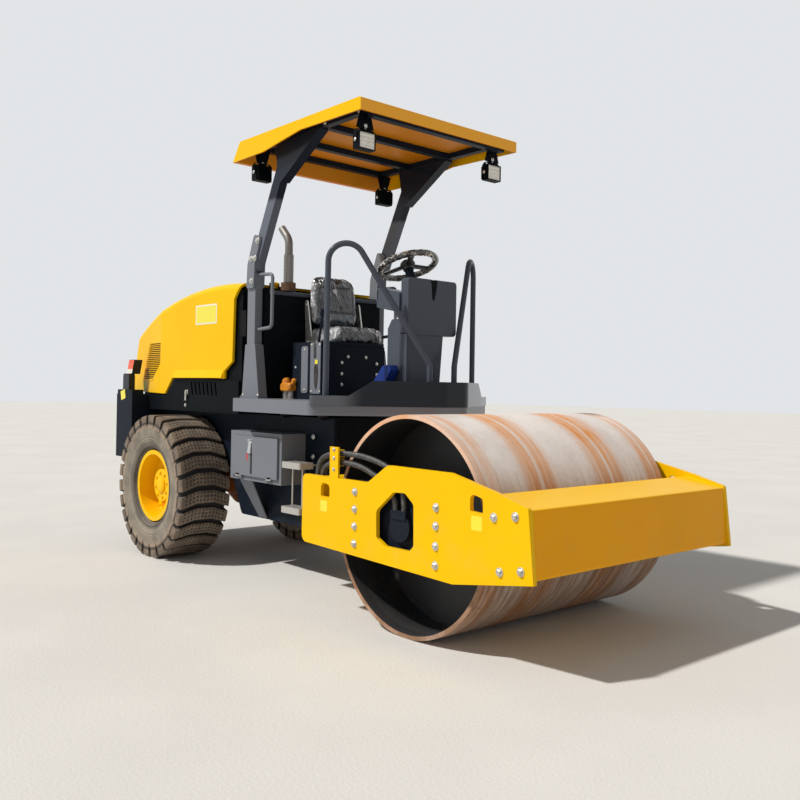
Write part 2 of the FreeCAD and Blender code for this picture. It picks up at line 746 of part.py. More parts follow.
# Rear axle: one casting with its centre gear case, spindles, pads under the chassis and drive motor
def make_rear_axle():
    x = -WHEELBASE
    z = TYRE_R
    middle = TRACK / 2
    spindle_end = middle + SPINDLE_OUT
    hub_face = middle - HUB_IN - MOVE_GAP
    tube = rod(V(x, -hub_face, z), V(x, hub_face, z), AXLE_TUBE_R)
    spindle = rod(V(x, -spindle_end, z), V(x, spindle_end, z), SPINDLE_R - RUN_GAP)
    bell = rod(V(x, -DIFF_HALF, z), V(x, DIFF_HALF, z), DIFF_R)
    edges = [e for e in bell.Edges if abs(e.Length - 2 * math.pi * DIFF_R) < 1]
    bell = bell.makeChamfer(60, edges)
    pieces = [tube, spindle, bell, rod(V(x, 0, z), V(x + 360, 0, z), 85)]
    for side in (1, -1):
        y = side * (hub_face - 25)
        pieces.append(rod(V(x, y - 25, z), V(x, y + 25, z), HUB_R - 5))
        low = min(side * 380, side * CHASSIS_HALF)
        pieces.append(block(x - 80, x + 80, low, low + CHASSIS_HALF - 380, z, CHASSIS_ARCH))
    return joined(pieces)


NODES["rear_axle"] = make_rear_axle()


# Wheels: pressed rim with its disc and hub, and the tyre on it
def make_rim():
    middle = TRACK / 2
    inner = middle - RIM_WIDTH / 2
    outer = middle + RIM_WIDTH / 2
    wall = RIM_SEAT_R - RIM_WALL
    disc = middle + DISC_OUT
    profile = [(SPINDLE_R, middle - HUB_IN), (HUB_R, middle - HUB_IN), (HUB_R, disc - DISC_T),
               (wall, disc - DISC_T), (wall, inner), (RIM_FLANGE_R, inner), (RIM_FLANGE_R, inner + 12),
               (RIM_SEAT_R, inner + 20), (RIM_SEAT_R, outer - 20), (RIM_FLANGE_R, outer - 12),
               (RIM_FLANGE_R, outer), (wall, outer), (wall, disc), (HUB_R, disc),
               (HUB_R, middle + HUB_OUT), (0, middle + HUB_OUT), (0, middle + SPINDLE_OUT + 5),
               (SPINDLE_R, middle + SPINDLE_OUT + 5)]
    return mirrored(turned(profile, -WHEELBASE, TYRE_R))


def make_carcass():
    """Tyre without its lugs, as a many-sided ring: two flats for each lug keep it light."""
    middle = TRACK / 2
    bead = RIM_WIDTH / 2 - 21
    seat = (RIM_SEAT_R + SEAT_GAP) / math.cos(math.pi / LUG_COUNT / 2)
    shoulder = TYRE_WIDTH / 2
    # radius, distance from the tyre's middle plane
    half = [(seat, bead), (RIM_FLANGE_R + 5, bead), (RIM_FLANGE_R + 24, bead + 34), (TYRE_R * 0.68, shoulder - 8),
            (TYRE_R * 0.80, shoulder - 4), (TYRE_R - LUG_DEPTH - 22, shoulder - 16),
            (TYRE_R - LUG_DEPTH, shoulder - 50)]
    profile = [(r, -middle - y) for r, y in half] + [(r, -middle + y) for r, y in reversed(half)]
    flats = 2 * LUG_COUNT
    rings = []
    for i in range(flats):
        angle = 2 * math.pi * (i + 0.5) / flats
        rings.append([V(r * math.cos(angle), y, r * math.sin(angle)) for r, y in profile])
    faces = []
    for i in range(flats):
        ahead = rings[(i + 1) % flats]
        here = rings[i]
        for j in range(len(profile)):
            k = (j + 1) % len(profile)
            faces.append(Part.Face(Part.makePolygon([here[j], here[k], ahead[k], ahead[j], here[j]])))
    return Part.Solid(Part.makeShell(faces))


def make_lug():
    """One bar of tread right across the tyre, swept back at both shoulders, on the tyre's forward side."""
    half = LUG_LEN / 2
    edge = TYRE_WIDTH / 2
    # distance across the tyre, distance round it
    outline = [(-edge, -LUG_SWEEP - half), (-LUG_BEND_Y, LUG_SWEEP - half), (LUG_BEND_Y, LUG_SWEEP - half),
               (edge, -LUG_SWEEP - half), (edge, -LUG_SWEEP + half), (LUG_BEND_Y, LUG_SWEEP + half),
               (-LUG_BEND_Y, LUG_SWEEP + half), (-edge, -LUG_SWEEP + half)]
    wires = []
    for r in (LUG_ROOT_R, LUG_TOP):
        points = [V(r, -TRACK / 2 + y, t * r / LUG_TOP) for y, t in outline]
        wires.append(Part.makePolygon(points + points[:1]))
    return Part.makeLoft(wires, True, True)


def make_tyre():
    lug = make_lug()
    lugs = []
    for i in range(LUG_COUNT):
        copy = lug.copy()
        copy.rotate(V(0, 0, 0), V(0, 1, 0), 90 + 360.0 * i / LUG_COUNT)
        lugs.append(copy)
    tyre = joined([make_carcass()] + lugs)
    tyre.translate(V(-WHEELBASE, 0, TYRE_R))
    return tyre


NODES["rim_right"] = make_rim()
NODES["rim_left"] = mirrored(NODES["rim_right"])
NODES["tyre_right"] = make_tyre()
NODES["tyre_left"] = mirrored(NODES["tyre_right"])


# Operator's platform: floor plate with a deep folded rim, ribs below, and a thin skirt round its nose
def platform_outline(grow):
    """Plan of the platform as (x, y, radius) corners, moved outward by grow."""
    slope = math.atan2(PLATFORM_HALF - NOSE_HALF, PLATFORM_NOSE - 20 - PLATFORM_KINK)
    shift = grow * math.tan(slope / 2)
    half = [(PLATFORM_REAR, PLATFORM_REAR_HALF, 10), (PLATFORM_CORNER, PLATFORM_HALF + grow, 40),
            (PLATFORM_KINK + shift, PLATFORM_HALF + grow, 60),
            (PLATFORM_NOSE + grow, NOSE_HALF - 29 + shift, NOSE_R)]
    return half + [(x, -y, r) for x, y, r in reversed(half)]


def make_platform():
    low = FLOOR_Z - PLATFORM_T
    slab = plate_z(platform_outline(0), low, FLOOR_Z)
    pocket_wire = rounded_wire(platform_outline(0), lambda u, v: V(u, v, low)).makeOffset2D(-PLATFORM_RIM)
    pocket = Part.Face(pocket_wire).extrude(V(0, 0, PLATFORM_T - FLOOR_T))
    ribs = [block(x - RIB_WIDTH / 2, x + RIB_WIDTH / 2, -PLATFORM_HALF + 60, PLATFORM_HALF - 60, low, FLOOR_Z - 5)
            for x in RIB_XS]
    return joined([slab.cut(pocket)] + ribs)


def make_platform_mounts():
    low = FLOOR_Z - PLATFORM_T
    rubbers = [rod(V(x, side * (CHASSIS_HALF - 10), CHASSIS_TOP), V(x, side * (CHASSIS_HALF - 10), low), MOUNT_R)
               for x in RIB_XS for side in (1, -1)]
    return Part.makeCompound(rubbers)


def make_skirt():
    low = FLOOR_Z - SKIRT_LAP
    ring = plate_z(platform_outline(SKIRT_T), low, SKIRT_TOP)
    ring = ring.cut(plate_z(platform_outline(0), low - 1, SKIRT_TOP + 1))
    ring = ring.cut(block(PLATFORM_REAR - 200, PLATFORM_KINK, -2000, 2000, low - 1, SKIRT_TOP + 1))
    away = [(PLATFORM_KINK - 100, SKIRT_LOW, 0), (SKIRT_RISE_X0, SKIRT_LOW, 0),
            (SKIRT_RISE_X1, SKIRT_TOP, 0), (SKIRT_RISE_X1, SKIRT_TOP + 100, 0),
            (PLATFORM_KINK - 100, SKIRT_TOP + 100, 0)]
    return ring.cut(plate_y(away, -2000, 2000))


NODES["platform"] = make_platform()
NODES["platform_mounts"] = make_platform_mounts()
NODES["platform_skirt"] = make_skirt()


# Handrails: one bent tube on each side of the nose, both legs on the floor
def make_handrail():
    back = V(RAIL_BACK[0], -RAIL_BACK[1], 0)
    front = V(RAIL_FRONT[0], -RAIL_FRONT[1], 0)
    along = (front - back).normalize()
    span = (front - back).Length

    def at(s, z):
        return back + along * s + V(0, 0, z)

    foot = FLOOR_Z + SEAT_GAP * 2
    points = [at(0, foot), at(8, RAIL_PEAK_Z), at(span - 4, RAIL_KNEE_Z), at(span, foot)]
    return pipe(points, [RAIL_PEAK_R, RAIL_KNEE_R], RAIL_R)


NODES["handrail_right"] = make_handrail()
NODES["handrail_left"] = mirrored(NODES["handrail_right"])


# Roll-over posts: footed lower posts with a grab handle, and leaning upper posts bolted on by plates
def make_lower_post():
    y0 = -POST_SIDE - ROPS_WIDTH / 2
    y1 = -POST_SIDE + ROPS_WIDTH / 2
    foot = block(FOOT_X0, FOOT_X1, y0 - 15, y1 + 2, FLOOR_Z, FLOOR_Z + FOOT_T)
    post = block(ROPS_X - ROPS_DEPTH / 2, ROPS_X + ROPS_DEPTH / 2, y0, y1, FLOOR_Z, ROPS_LOW_TOP)
    sleeve = [(FOOT_X0 + 10, FLOOR_Z + FOOT_T - 1, 0), (FOOT_X1 - 5, FLOOR_Z + FOOT_T - 1, 0),
              (ROPS_X + ROPS_DEPTH / 2 + 15, SLEEVE_TOP, 8), (ROPS_X - ROPS_DEPTH / 2 - 15, SLEEVE_TOP, 8)]
    grab_back = ROPS_X + ROPS_DEPTH / 2 - 5
    grab_front = grab_back + GRAB_REACH
    handle = pipe([V(grab_back, -POST_SIDE, GRAB_HIGH), V(grab_front, -POST_SIDE, GRAB_HIGH - 10),
                   V(grab_front, -POST_SIDE, GRAB_LOW + 10), V(grab_back, -POST_SIDE, GRAB_LOW)], [35, 35], GRAB_R)
    pieces = [foot, post, plate_y(sleeve, y0 - SLEEVE_T, y1 + SLEEVE_T), handle]
    hinge = [(ROPS_X - 48, ROPS_LOW_TOP - 110, 20), (ROPS_X + 48, ROPS_LOW_TOP - 110, 20),
             (ROPS_X + 56, ROPS_LOW_TOP + 60, 40), (ROPS_X + 132, ROPS_LOW_TOP + 250, 25),
             (ROPS_X + 42, ROPS_LOW_TOP + 270, 25), (ROPS_X - 40, ROPS_LOW_TOP + 60, 40)]
    for y in (y0 - HINGE_T, y1):
        pieces.append(plate_y(hinge, y, y + HINGE_T))
    return joined(pieces)


ROOF_UNDER = ROOF_TOP - ROOF_T


def make_upper_post():
    y0 = -POST_SIDE - ROPS_WIDTH / 2
    y1 = -POST_SIDE + ROPS_WIDTH / 2
    low = ROPS_LOW_TOP + 12
    high = ROOF_UNDER - ROOF_TUBE_H - SEAT_GAP
    half = ROPS_DEPTH / 2
    post = [(ROPS_X - half + 5, low, 0), (ROPS_X + half + 5, low, 0),
            (ROPS_LEAN_X + half, high, 0), (ROPS_LEAN_X - half, high, 0)]
    gusset = [(-1590, 2760, 0), (-1560, 2745, 0), (-1120, high - 12, 8), (-1120, high, 0), (-1640, high, 0)]
    bar = plate_y(post, y0, y1)
    brace = plate_y(gusset, y0 - 6, y1 + 6)
    return joined([bar, brace])


NODES["rops_lower_right"] = make_lower_post()
NODES["rops_lower_left"] = mirrored(NODES["rops_lower_right"])
NODES["rops_upper_right"] = make_upper_post()
NODES["rops_upper_left"] = mirrored(NODES["rops_upper_right"])


# Canopy: welded tube frame on the posts, and a folded sheet roof with side lips
def make_canopy_frame():
    low = ROOF_UNDER - ROOF_TUBE_H
    half_w = ROOF_TUBE_W / 2
    tubes = []
    for side in (1, -1):
        y = side * POST_SIDE
        tubes.append(block(ROOF_CROSS_XS[-1] - half_w, ROOF_CROSS_XS[0] + half_w, y - half_w, y + half_w,
                           low, ROOF_UNDER))
    for x in ROOF_CROSS_XS:
        tubes.append(block(x - half_w, x + half_w, -POST_SIDE, POST_SIDE, low, ROOF_UNDER))
    return joined(tubes)


def make_canopy_roof():
    outer = [(ROOF_FRONT, 3004, 0), (ROOF_FRONT, ROOF_TOP, 12), (ROOF_TOP_REAR, ROOF_TOP, 20),
             (ROOF_REAR, 2948, 0), (-1650, 2952, 40), (-1207, 3012, 80)]
    inner = [(ROOF_FRONT - ROOF_T, 2900, 0), (ROOF_FRONT - ROOF_T, ROOF_UNDER, 0),
             (ROOF_TOP_REAR + 8, ROOF_UNDER, 0), (ROOF_REAR + 16, 2900, 0)]
    shell = plate_y(outer, -ROOF_HALF, ROOF_HALF)
    return shell.cut(plate_y(inner, -ROOF_HALF + ROOF_T, ROOF_HALF - ROOF_T))


NODES["canopy_frame"] = make_canopy_frame()
NODES["canopy_roof"] = make_canopy_roof()


# Work lamps: four square lamps hung on bracket plates under the canopy frame
def make_work_lamps():
    lamps = []
    low = ROOF_UNDER - ROOF_TUBE_H
    for x in LAMP_XS:
        for side in (1, -1):
            y = side * POST_SIDE
            body = block(x - LAMP_D / 2, x + LAMP_D / 2, y - LAMP_W / 2, y + LAMP_W / 2,
                         LAMP_Z - LAMP_H / 2, LAMP_Z + LAMP_H / 2)
            stalk = block(x - 6, x + 6, y - 30, y + 30, LAMP_Z + LAMP_H / 2 - 1, low)
            lamps.append(joined([body, stalk]))
    return Part.makeCompound(lamps)


NODES["work_lamps"] = make_work_lamps()


# Seat: steel box, pan, cushion, leaning back and its side brackets
def make_seat_base():
    box = block(SEAT_BACK_X + 40, SEAT_FRONT - 35, -SEAT_HALF, SEAT_HALF, FLOOR_Z, SEAT_BASE_TOP)
    pan = block(SEAT_BACK_X + 10, SEAT_FRONT - 25, -SEAT_HALF + 15, SEAT_HALF - 15,
                SEAT_BASE_TOP, SEAT_BASE_TOP + SEAT_PAN)
    return joined([box, pan])


CUSHION_Z = SEAT_BASE_TOP + SEAT_PAN + SEAT_GAP


def make_cushion():
    outline = [(SEAT_BACK_X + 30, -SEAT_HALF, 60), (SEAT_FRONT, -SEAT_HALF, 60),
               (SEAT_FRONT, SEAT_HALF, 60), (SEAT_BACK_X + 30, SEAT_HALF, 60)]
    return plate_z(outline, CUSHION_Z, CUSHION_Z + CUSHION_T)


BACK_FOOT_X = -1690.0


def make_seat_back():
    low = CUSHION_Z + CUSHION_T + SEAT_GAP + BACK_T * math.sin(math.radians(BACK_LEAN))
    outline = [(-SEAT_HALF, low, 50), (SEAT_HALF, low, 50), (SEAT_HALF - 15, low + BACK_H, 90),
               (-SEAT_HALF + 15, low + BACK_H, 90)]
    back = plate_x(outline, BACK_FOOT_X - BACK_T, BACK_FOOT_X)
    back.rotate(V(BACK_FOOT_X, 0, low), V(0, 1, 0), -BACK_LEAN)
    return back


def make_seat_brackets():
    low = SEAT_BASE_TOP + 4
    bracket = [(BACK_FOOT_X - 60, low + 90, 15), (BACK_FOOT_X - 75, low + 330, 15),
               (BACK_FOOT_X - 45, low + 330, 15), (BACK_FOOT_X + 10, low + 60, 15),
               (BACK_FOOT_X + 130, low + 30, 10), (BACK_FOOT_X + 130, low, 8), (BACK_FOOT_X - 60, low, 10)]
    plate = plate_y(bracket, -SEAT_HALF - 12, -SEAT_HALF - 2)
    pan_edge = -SEAT_HALF + 15 - SEAT_GAP
    bar = block(BACK_FOOT_X - 55, BACK_FOOT_X - 15, -SEAT_HALF - 12, pan_edge, low, low + 14)
    return on_both(joined([plate, bar]))


NODES["seat_base"] = make_seat_base()
NODES["seat_cushion"] = make_cushion()
NODES["seat_back"] = make_seat_back()
NODES["seat_brackets"] = make_seat_brackets()


# Lever box on the driver's right, with its gate plate and lever, and the foot pedal
def make_lever_box():
    y = (LEVER_BOX_Y0 + LEVER_BOX_Y1) / 2
    body = block(LEVER_BOX_X0, LEVER_BOX_X1, LEVER_BOX_Y0, LEVER_BOX_Y1, FLOOR_Z, LEVER_BOX_TOP)
    foot = V(LEVER_X, y, LEVER_BOX_TOP - 5)
    along = V(LEVER_LEAN, 0, LEVER_LEN).normalize()
    tip = foot + along * LEVER_LEN
    return joined([body, rod(foot, tip, 8), rod(tip - along * 10, tip + along * 40, 18)])


def make_pedal():
    # forward, up, corner radius
    outline = [(-125, 0, 6), (-125, 60, 20), (-57, 145, 60), (20, 230, 30), (80, 236, 24), (100, 208, 20),
               (57, 142, 60), (40, 80, 30), (40, 0, 6)]
    return plate_y([(PEDAL_X + u, FLOOR_Z + v, r) for u, v, r in outline], PEDAL_Y0, PEDAL_Y1)


NODES["lever_box"] = make_lever_box()
NODES["pedal"] = make_pedal()


# Control column: front panel box on a pedestal, instrument box, tilted column and steering wheel
def make_console():
    front = plate_x([(-CONSOLE_HALF, CONSOLE_LOW, 20), (CONSOLE_HALF, CONSOLE_LOW, 30),
                     (CONSOLE_HALF, CONSOLE_TOP, 25), (-CONSOLE_HALF, CONSOLE_TOP, 25)],
                    CONSOLE_X - CONSOLE_T, CONSOLE_X)
    notch = plate_x([(-18, CONSOLE_TOP + 1, 0), (18, CONSOLE_TOP + 1, 0), (5, CONSOLE_TOP - 130, 0),
                     (-5, CONSOLE_TOP - 130, 0)], CONSOLE_X - CONSOLE_T - 1, CONSOLE_X + 1)
    pedestal = plate_x([(-CONSOLE_HALF, FLOOR_Z, 0), (70, FLOOR_Z, 0), (105, CONSOLE_LOW + 1, 0),
                        (-CONSOLE_HALF, CONSOLE_LOW + 1, 0)], PEDESTAL_BACK, CONSOLE_X - 10)
    upper = plate_y([(PEDESTAL_BACK, CONSOLE_LOW - 60, 0), (CONSOLE_X - CONSOLE_T + 1, CONSOLE_LOW - 60, 0),
                     (CONSOLE_X - CONSOLE_T + 1, PEDESTAL_TOP, 0), (PEDESTAL_BACK + 40, PEDESTAL_TOP, 10),
                     (PEDESTAL_BACK, PEDESTAL_TOP - 60, 10)], -CONSOLE_HALF, 100)
    return joined([front.cut(notch), pedestal, upper])


def make_dash():
    low = PEDESTAL_TOP + DASH_LIFT
    box = [(DASH_BACK, low + DASH_RISE, 8), (DASH_FRONT, low, 8), (DASH_FRONT, low + DASH_DEPTH, 8),
           (DASH_BACK + 20, low + DASH_DEPTH + DASH_RISE, 8)]
    body = plate_y(box, DASH_Y0, DASH_Y1)
    leg = block(DASH_FRONT - 38, DASH_FRONT - 8, DASH_Y0 + 30, DASH_Y1 - 30, PEDESTAL_TOP, low + 20)
    return joined([body, leg])


WHEEL_AXIS = V(-math.sin(math.radians(WHEEL_LEAN)), 0, math.cos(math.radians(WHEEL_LEAN)))
WHEEL_CENTRE = V(WHEEL_X, 0, WHEEL_Z)


def make_column():
    top = WHEEL_CENTRE - WHEEL_AXIS * 30
    tube = rod(WHEEL_CENTRE - WHEEL_AXIS * COLUMN_LEN, top, COLUMN_R)
    tip = rod(top, top + WHEEL_AXIS * 35, 10)
    return joined([tube, tip])


def make_steering_wheel():
    rim = Part.makeTorus(WHEEL_R, WHEEL_RIM_R)
    hub = Part.makeCylinder(38, 42, V(0, 0, -29.7))
    spokes = []
    for angle in (90, 210, 330):
        spoke = block(20, WHEEL_R - 4, -13, 13, -8, 4)
        spoke.rotate(V(0, 0, 0), V(0, 0, 1), angle)
        spokes.append(spoke)
    bore = Part.makeCylinder(10 + RUN_GAP, 38, V(0, 0, -30))
    wheel = joined([rim, hub] + spokes).cut(bore)
    wheel.rotate(V(0, 0, 0), V(0, 1, 0), -WHEEL_LEAN)
    wheel.translate(WHEEL_CENTRE)
    return wheel


NODES["console"] = make_console()
NODES["instrument_box"] = make_dash()
NODES["steering_column"] = make_column().cut(NODES["console"])
NODES["steering_wheel"] = make_steering_wheel()


# Engine cowl: black bulkhead behind the seat, with a wider shroud that the hood closes over
def make_cowl():
    front = block(PLATFORM_REAR, COWL_FRONT, -COWL_HALF, COWL_HALF, FLOOR_Z, COWL_TOP)
    shroud = block(SHROUD_BACK, PLATFORM_REAR - 2, -SHROUD_HALF, SHROUD_HALF, CHASSIS_TOP + DECK_T, COWL_TOP)
    pocket = block(SHROUD_BACK - 1, PLATFORM_REAR - 40, -SHROUD_HALF + 20, SHROUD_HALF - 20,
                   CHASSIS_TOP + DECK_T + 20, COWL_TOP - 20)
    link = block(PLATFORM_REAR - 30, PLATFORM_REAR + 10, -COWL_HALF, COWL_HALF, FLOOR_Z + 5, COWL_TOP)
    pieces = [front, shroud.cut(pocket), link]
    for y in HINGE_YS:
        pin = rod(V(HINGE_X, y - HINGE_HALF, HINGE_Z), V(HINGE_X, y + HINGE_HALF, HINGE_Z), HINGE_PIN_R - RUN_GAP)
        pieces.append(pin)
        for end in (y - HINGE_HALF, y + HINGE_HALF - HINGE_EAR):
            pieces.append(block(HINGE_X - HINGE_PIN_R, HINGE_X + HINGE_PIN_R, end, end + HINGE_EAR,
                                COWL_TOP - 1, HINGE_Z + HINGE_PIN_R))
    return joined(pieces)


NODES["engine_cowl"] = make_cowl()


# Hood: one-piece lifting cover, open below and in front, hinged along its front top edge
def hood_form(inset):
    """Closed form of the hood, shrunk inward by inset; a shrunk one runs out below and in front."""
    tail = -REAR_REACH + inset * 1.05
    low = 400.0 if inset else 0.0
    ahead = 300.0 if inset else 0.0
    top = HOOD_TOP - inset
    start = V(HOOD_FRONT, 0, top)
    middle = V(HOOD_MID_X, 0, HOOD_MID_Z - inset)
    end = V(HOOD_TAIL_TOP_X + inset, 0, HOOD_TAIL_TOP_Z - inset)
    if inset:
        under = [V(tail, 0, HOOD_TAIL_END - 1), V(tail, 0, HOOD_TAIL_END - low),
                 V(HOOD_FRONT + ahead, 0, HOOD_TAIL_END - low), V(HOOD_FRONT + ahead, 0, top)]
    else:
        under = [V(tail, 0, HOOD_TAIL_END), V(HOOD_STEP_X0, 0, HOOD_TAIL_LOW), V(HOOD_STEP_X1, 0, HOOD_LOW_BACK),
                 V(HOOD_MOUTH_X, 0, HOOD_LOW), V(HOOD_MOUTH_X, 0, HOOD_LOW + 60),
                 V(HOOD_MOUTH_X + 112, 0, HOOD_LOW + 128), V(HOOD_MOUTH_X + 123, 0, HOOD_TOP - 110)]
    edges = [Part.Arc(start, middle, end).toShape()]
    chain = [end] + under + [start]
    for a, b in zip(chain, chain[1:]):
        edges.append(Part.LineSegment(a, b).toShape())
    half = HOOD_HALF - inset
    side = Part.Face(Part.Wire(edges))
    side.translate(V(0, -half, 0))
    form = side.extrude(V(0, 2 * half, 0))
    tail_half = HOOD_TAIL_HALF - inset
    plan = [(200, -half, 0), (HOOD_TAPER_X, -half, 0), (-REAR_REACH - 1, -tail_half, 0),
            (-REAR_REACH - 1, tail_half, 0), (HOOD_TAPER_X, half, 0), (200, half, 0)]
    form = form.common(plate_z(plan, 0, 3000))
    roof_edges = []
    for edge in form.Edges:
        box = edge.BoundBox
        on_side = abs(box.YMin) > tail_half - 1 and box.YMin * box.YMax > 0
        if on_side and box.ZMin > HOOD_TAIL_TOP_Z - inset - 1 and box.XLength > 100:
            roof_edges.append(edge)
    return form.makeFillet(HOOD_EDGE_R - inset, roof_edges)


def grille_slots():
    """Slots of the right grille: level bars stay between them, inside its five-sided outline."""
    slots = []
    for i in range(GRILLE_COUNT):
        z = GRILLE_LOW + GRILLE_PITCH * i
        rise = z - GRILLE_LOW
        back = GRILLE_BACK + GRILLE_BACK_LEAN * rise
        front = min(GRILLE_FRONT, GRILLE_KNEE + GRILLE_KNEE_LEAN * rise)
        slots.append(block(back, front, -HOOD_HALF - 5, -HOOD_TAIL_HALF + 20 + HOOD_WALL, z, z + GRILLE_SLOT))
    return slots


def make_hood():
    shell = hood_form(0.0).cut(hood_form(HOOD_WALL))
    for slot in grille_slots():
        shell = shell.cut(slot).cut(mirrored(slot))
    low = HOOD_LOW + 4
    wedge = plate_x([(-HOOD_HALF + 1, low, 0), (-HOOD_HALF - FLARE_OUT, low + 2, 0),
                     (-HOOD_HALF + 1, FLARE_TOP, 0)], FLARE_X0, FLARE_X1)
    pieces = [shell, wedge, mirrored(wedge)]
    for y in HINGE_YS:
        low = y - HINGE_LEAF_HALF
        high = y + HINGE_LEAF_HALF
        leaf = block(HOOD_FRONT - 40, HINGE_X + 2, low, high, HOOD_TOP - HOOD_WALL, HOOD_TOP + 2)
        barrel = rod(V(HINGE_X, low, HINGE_Z), V(HINGE_X, high, HINGE_Z), HINGE_PIN_R + 8)
        pieces += [leaf, barrel]
    hood = joined(pieces)
    for y in HINGE_YS:
        hood = hood.cut(rod(V(HINGE_X, y - 60, HINGE_Z), V(HINGE_X, y + 60, HINGE_Z), HINGE_PIN_R))
    return hood


NODES["hood"] = make_hood()


# Engine deck: floor over the chassis and the two black walls that the hood's lower edge meets
def make_deck():
    floor_z = CHASSIS_TOP
    back = BUMPER_FRONT
    front = PLATFORM_REAR - 10
    floor = block(back, front, -DECK_HALF, DECK_HALF, floor_z, floor_z + DECK_T)
    well = block(ENGINE_X0 - 60, ENGINE_X1 + 40, -380, 380, floor_z - 1, floor_z + DECK_T + 1)
    wall = [(front, floor_z + DECK_T - 1, 0), (front, HOOD_LOW - 12, 0), (HOOD_STEP_X1 + 6, HOOD_LOW_BACK - 8, 0),
            (HOOD_STEP_X0 + 4, HOOD_TAIL_LOW - 10, 0), (back, HOOD_TAIL_LOW - 10, 0), (back, floor_z + DECK_T - 1, 0)]
    right = plate_y(wall, -DECK_HALF, -DECK_HALF + DECK_WALL)
    louvres = []
    for i in range(LOUVRE_COUNT):
        x = LOUVRE_X0 + LOUVRE_PITCH * i
        slot = [(x, LOUVRE_LOW, 5), (x + LOUVRE_W, LOUVRE_LOW, 5), (x + LOUVRE_W - LOUVRE_SLANT, LOUVRE_HIGH, 5),
                (x - LOUVRE_SLANT, LOUVRE_HIGH, 5)]
        louvres.append(plate_y(slot, -DECK_HALF - 1, -DECK_HALF + DECK_WALL + 1))
    right = right.cut(louvres)
    return joined([floor.cut(well), right, mirrored(right)])


NODES["engine_deck"] = make_deck()
NODES["engine_block"] = block(ENGINE_X0, ENGINE_X1, -ENGINE_HALF, ENGINE_HALF, ENGINE_Z0, ENGINE_Z1)
NODES["radiator"] = block(BUMPER_FRONT + 15, BUMPER_FRONT + 15 + RADIATOR_T, -RADIATOR_HALF,
                          RADIATOR_HALF, CHASSIS_TOP + DECK_T, RADIATOR_TOP)


# Rear counterweight with chamfered corners, raised wings and a slot with a hole for a tow pin
def make_bumper():
    front = BUMPER_FRONT - SEAT_GAP
    plan = [(front, -BUMPER_HALF, 0), (front, BUMPER_HALF, 0),
            (BUMPER_BACK + BUMPER_CHAMFER, BUMPER_HALF, 15), (BUMPER_BACK, BUMPER_HALF - 150, 15),
            (BUMPER_BACK, -BUMPER_HALF + 150, 15), (BUMPER_BACK + BUMPER_CHAMFER, -BUMPER_HALF, 15)]
    block_form = plate_z(plan, BUMPER_LOW, BUMPER_TOP)
    wing = block(BUMPER_BACK + BUMPER_CHAMFER + 20, front, -BUMPER_HALF, -BUMPER_HALF + WING_W,
                 BUMPER_TOP - 1, BUMPER_TOP + WING_H)
    back = BUMPER_BACK - 1
    deep = BUMPER_BACK + TOW_SLOT_D
    half = TOW_SLOT_W / 2
    slot = block(back, deep, -half, half, BUMPER_LOW + TOW_EAR_T, BUMPER_LOW + 2 * TOW_EAR_T)
    access = block(back, deep, -half, half, BUMPER_LOW + 3 * TOW_EAR_T, BUMPER_TOP + 1)
    foot = V(BUMPER_BACK + TOW_SLOT_D / 2, 0, BUMPER_LOW - 1)
    hole = rod(foot, foot + V(0, 0, 3 * TOW_EAR_T + 2), TOW_HOLE_R)
    return joined([block_form, wing, mirrored(wing)]).cut(slot).cut(access).cut(hole)


def make_tail_lamps():
    outer = -BUMPER_HALF + 40
    low = BUMPER_TOP + WING_H
    high = TAIL_LAMP_Z0 + TAIL_LAMP_H
    end = TAIL_LAMP_X + TAIL_LAMP_D
    bracket = plate_y([(TAIL_LAMP_X - 15, low, 0), (TAIL_LAMP_X - 15, TAIL_LAMP_Z0 + 6, 30),
                       (end, TAIL_LAMP_Z0 + 6, 30), (end, low, 0)], outer - 25, outer + 30)
    lamp = plate_y([(TAIL_LAMP_X, TAIL_LAMP_Z0, 4), (TAIL_LAMP_X + TAIL_LAMP_LEAN, high, 4),
                    (end + TAIL_LAMP_LEAN, high, 4), (end, TAIL_LAMP_Z0, 4)], outer, outer + TAIL_LAMP_W)
    return on_both(joined([bracket, lamp]))


NODES["counterweight"] = make_bumper()
NODES["tail_lamps"] = make_tail_lamps()


# Exhaust: clamped foot on the cowl, perforated shield and a tail pipe that curves back
def make_exhaust():
    base = V(EXHAUST_X, EXHAUST_Y, COWL_TOP)
    foot = rod(base, base + V(0, 0, EXHAUST_FOOT_H), EXHAUST_FOOT_R)
    bend = V(EXHAUST_X, EXHAUST_Y, EXHAUST_BEND_Z)
    path = [base + V(0, 0, EXHAUST_FOOT_H - 1), bend, bend + V(-EXHAUST_HOOK, 0, EXHAUST_HOOK)]
    return joined([foot, pipe(path, [EXHAUST_BEND_R], EXHAUST_R)])


NODES["exhaust"] = make_exhaust()


# Side boxes: a steel locker on each side with a drop-down door, a brace below, and the two steps
DOOR_HINGE_XS = (BOX_X0 + DOOR_HINGE_IN, BOX_X1 - DOOR_HINGE_IN)


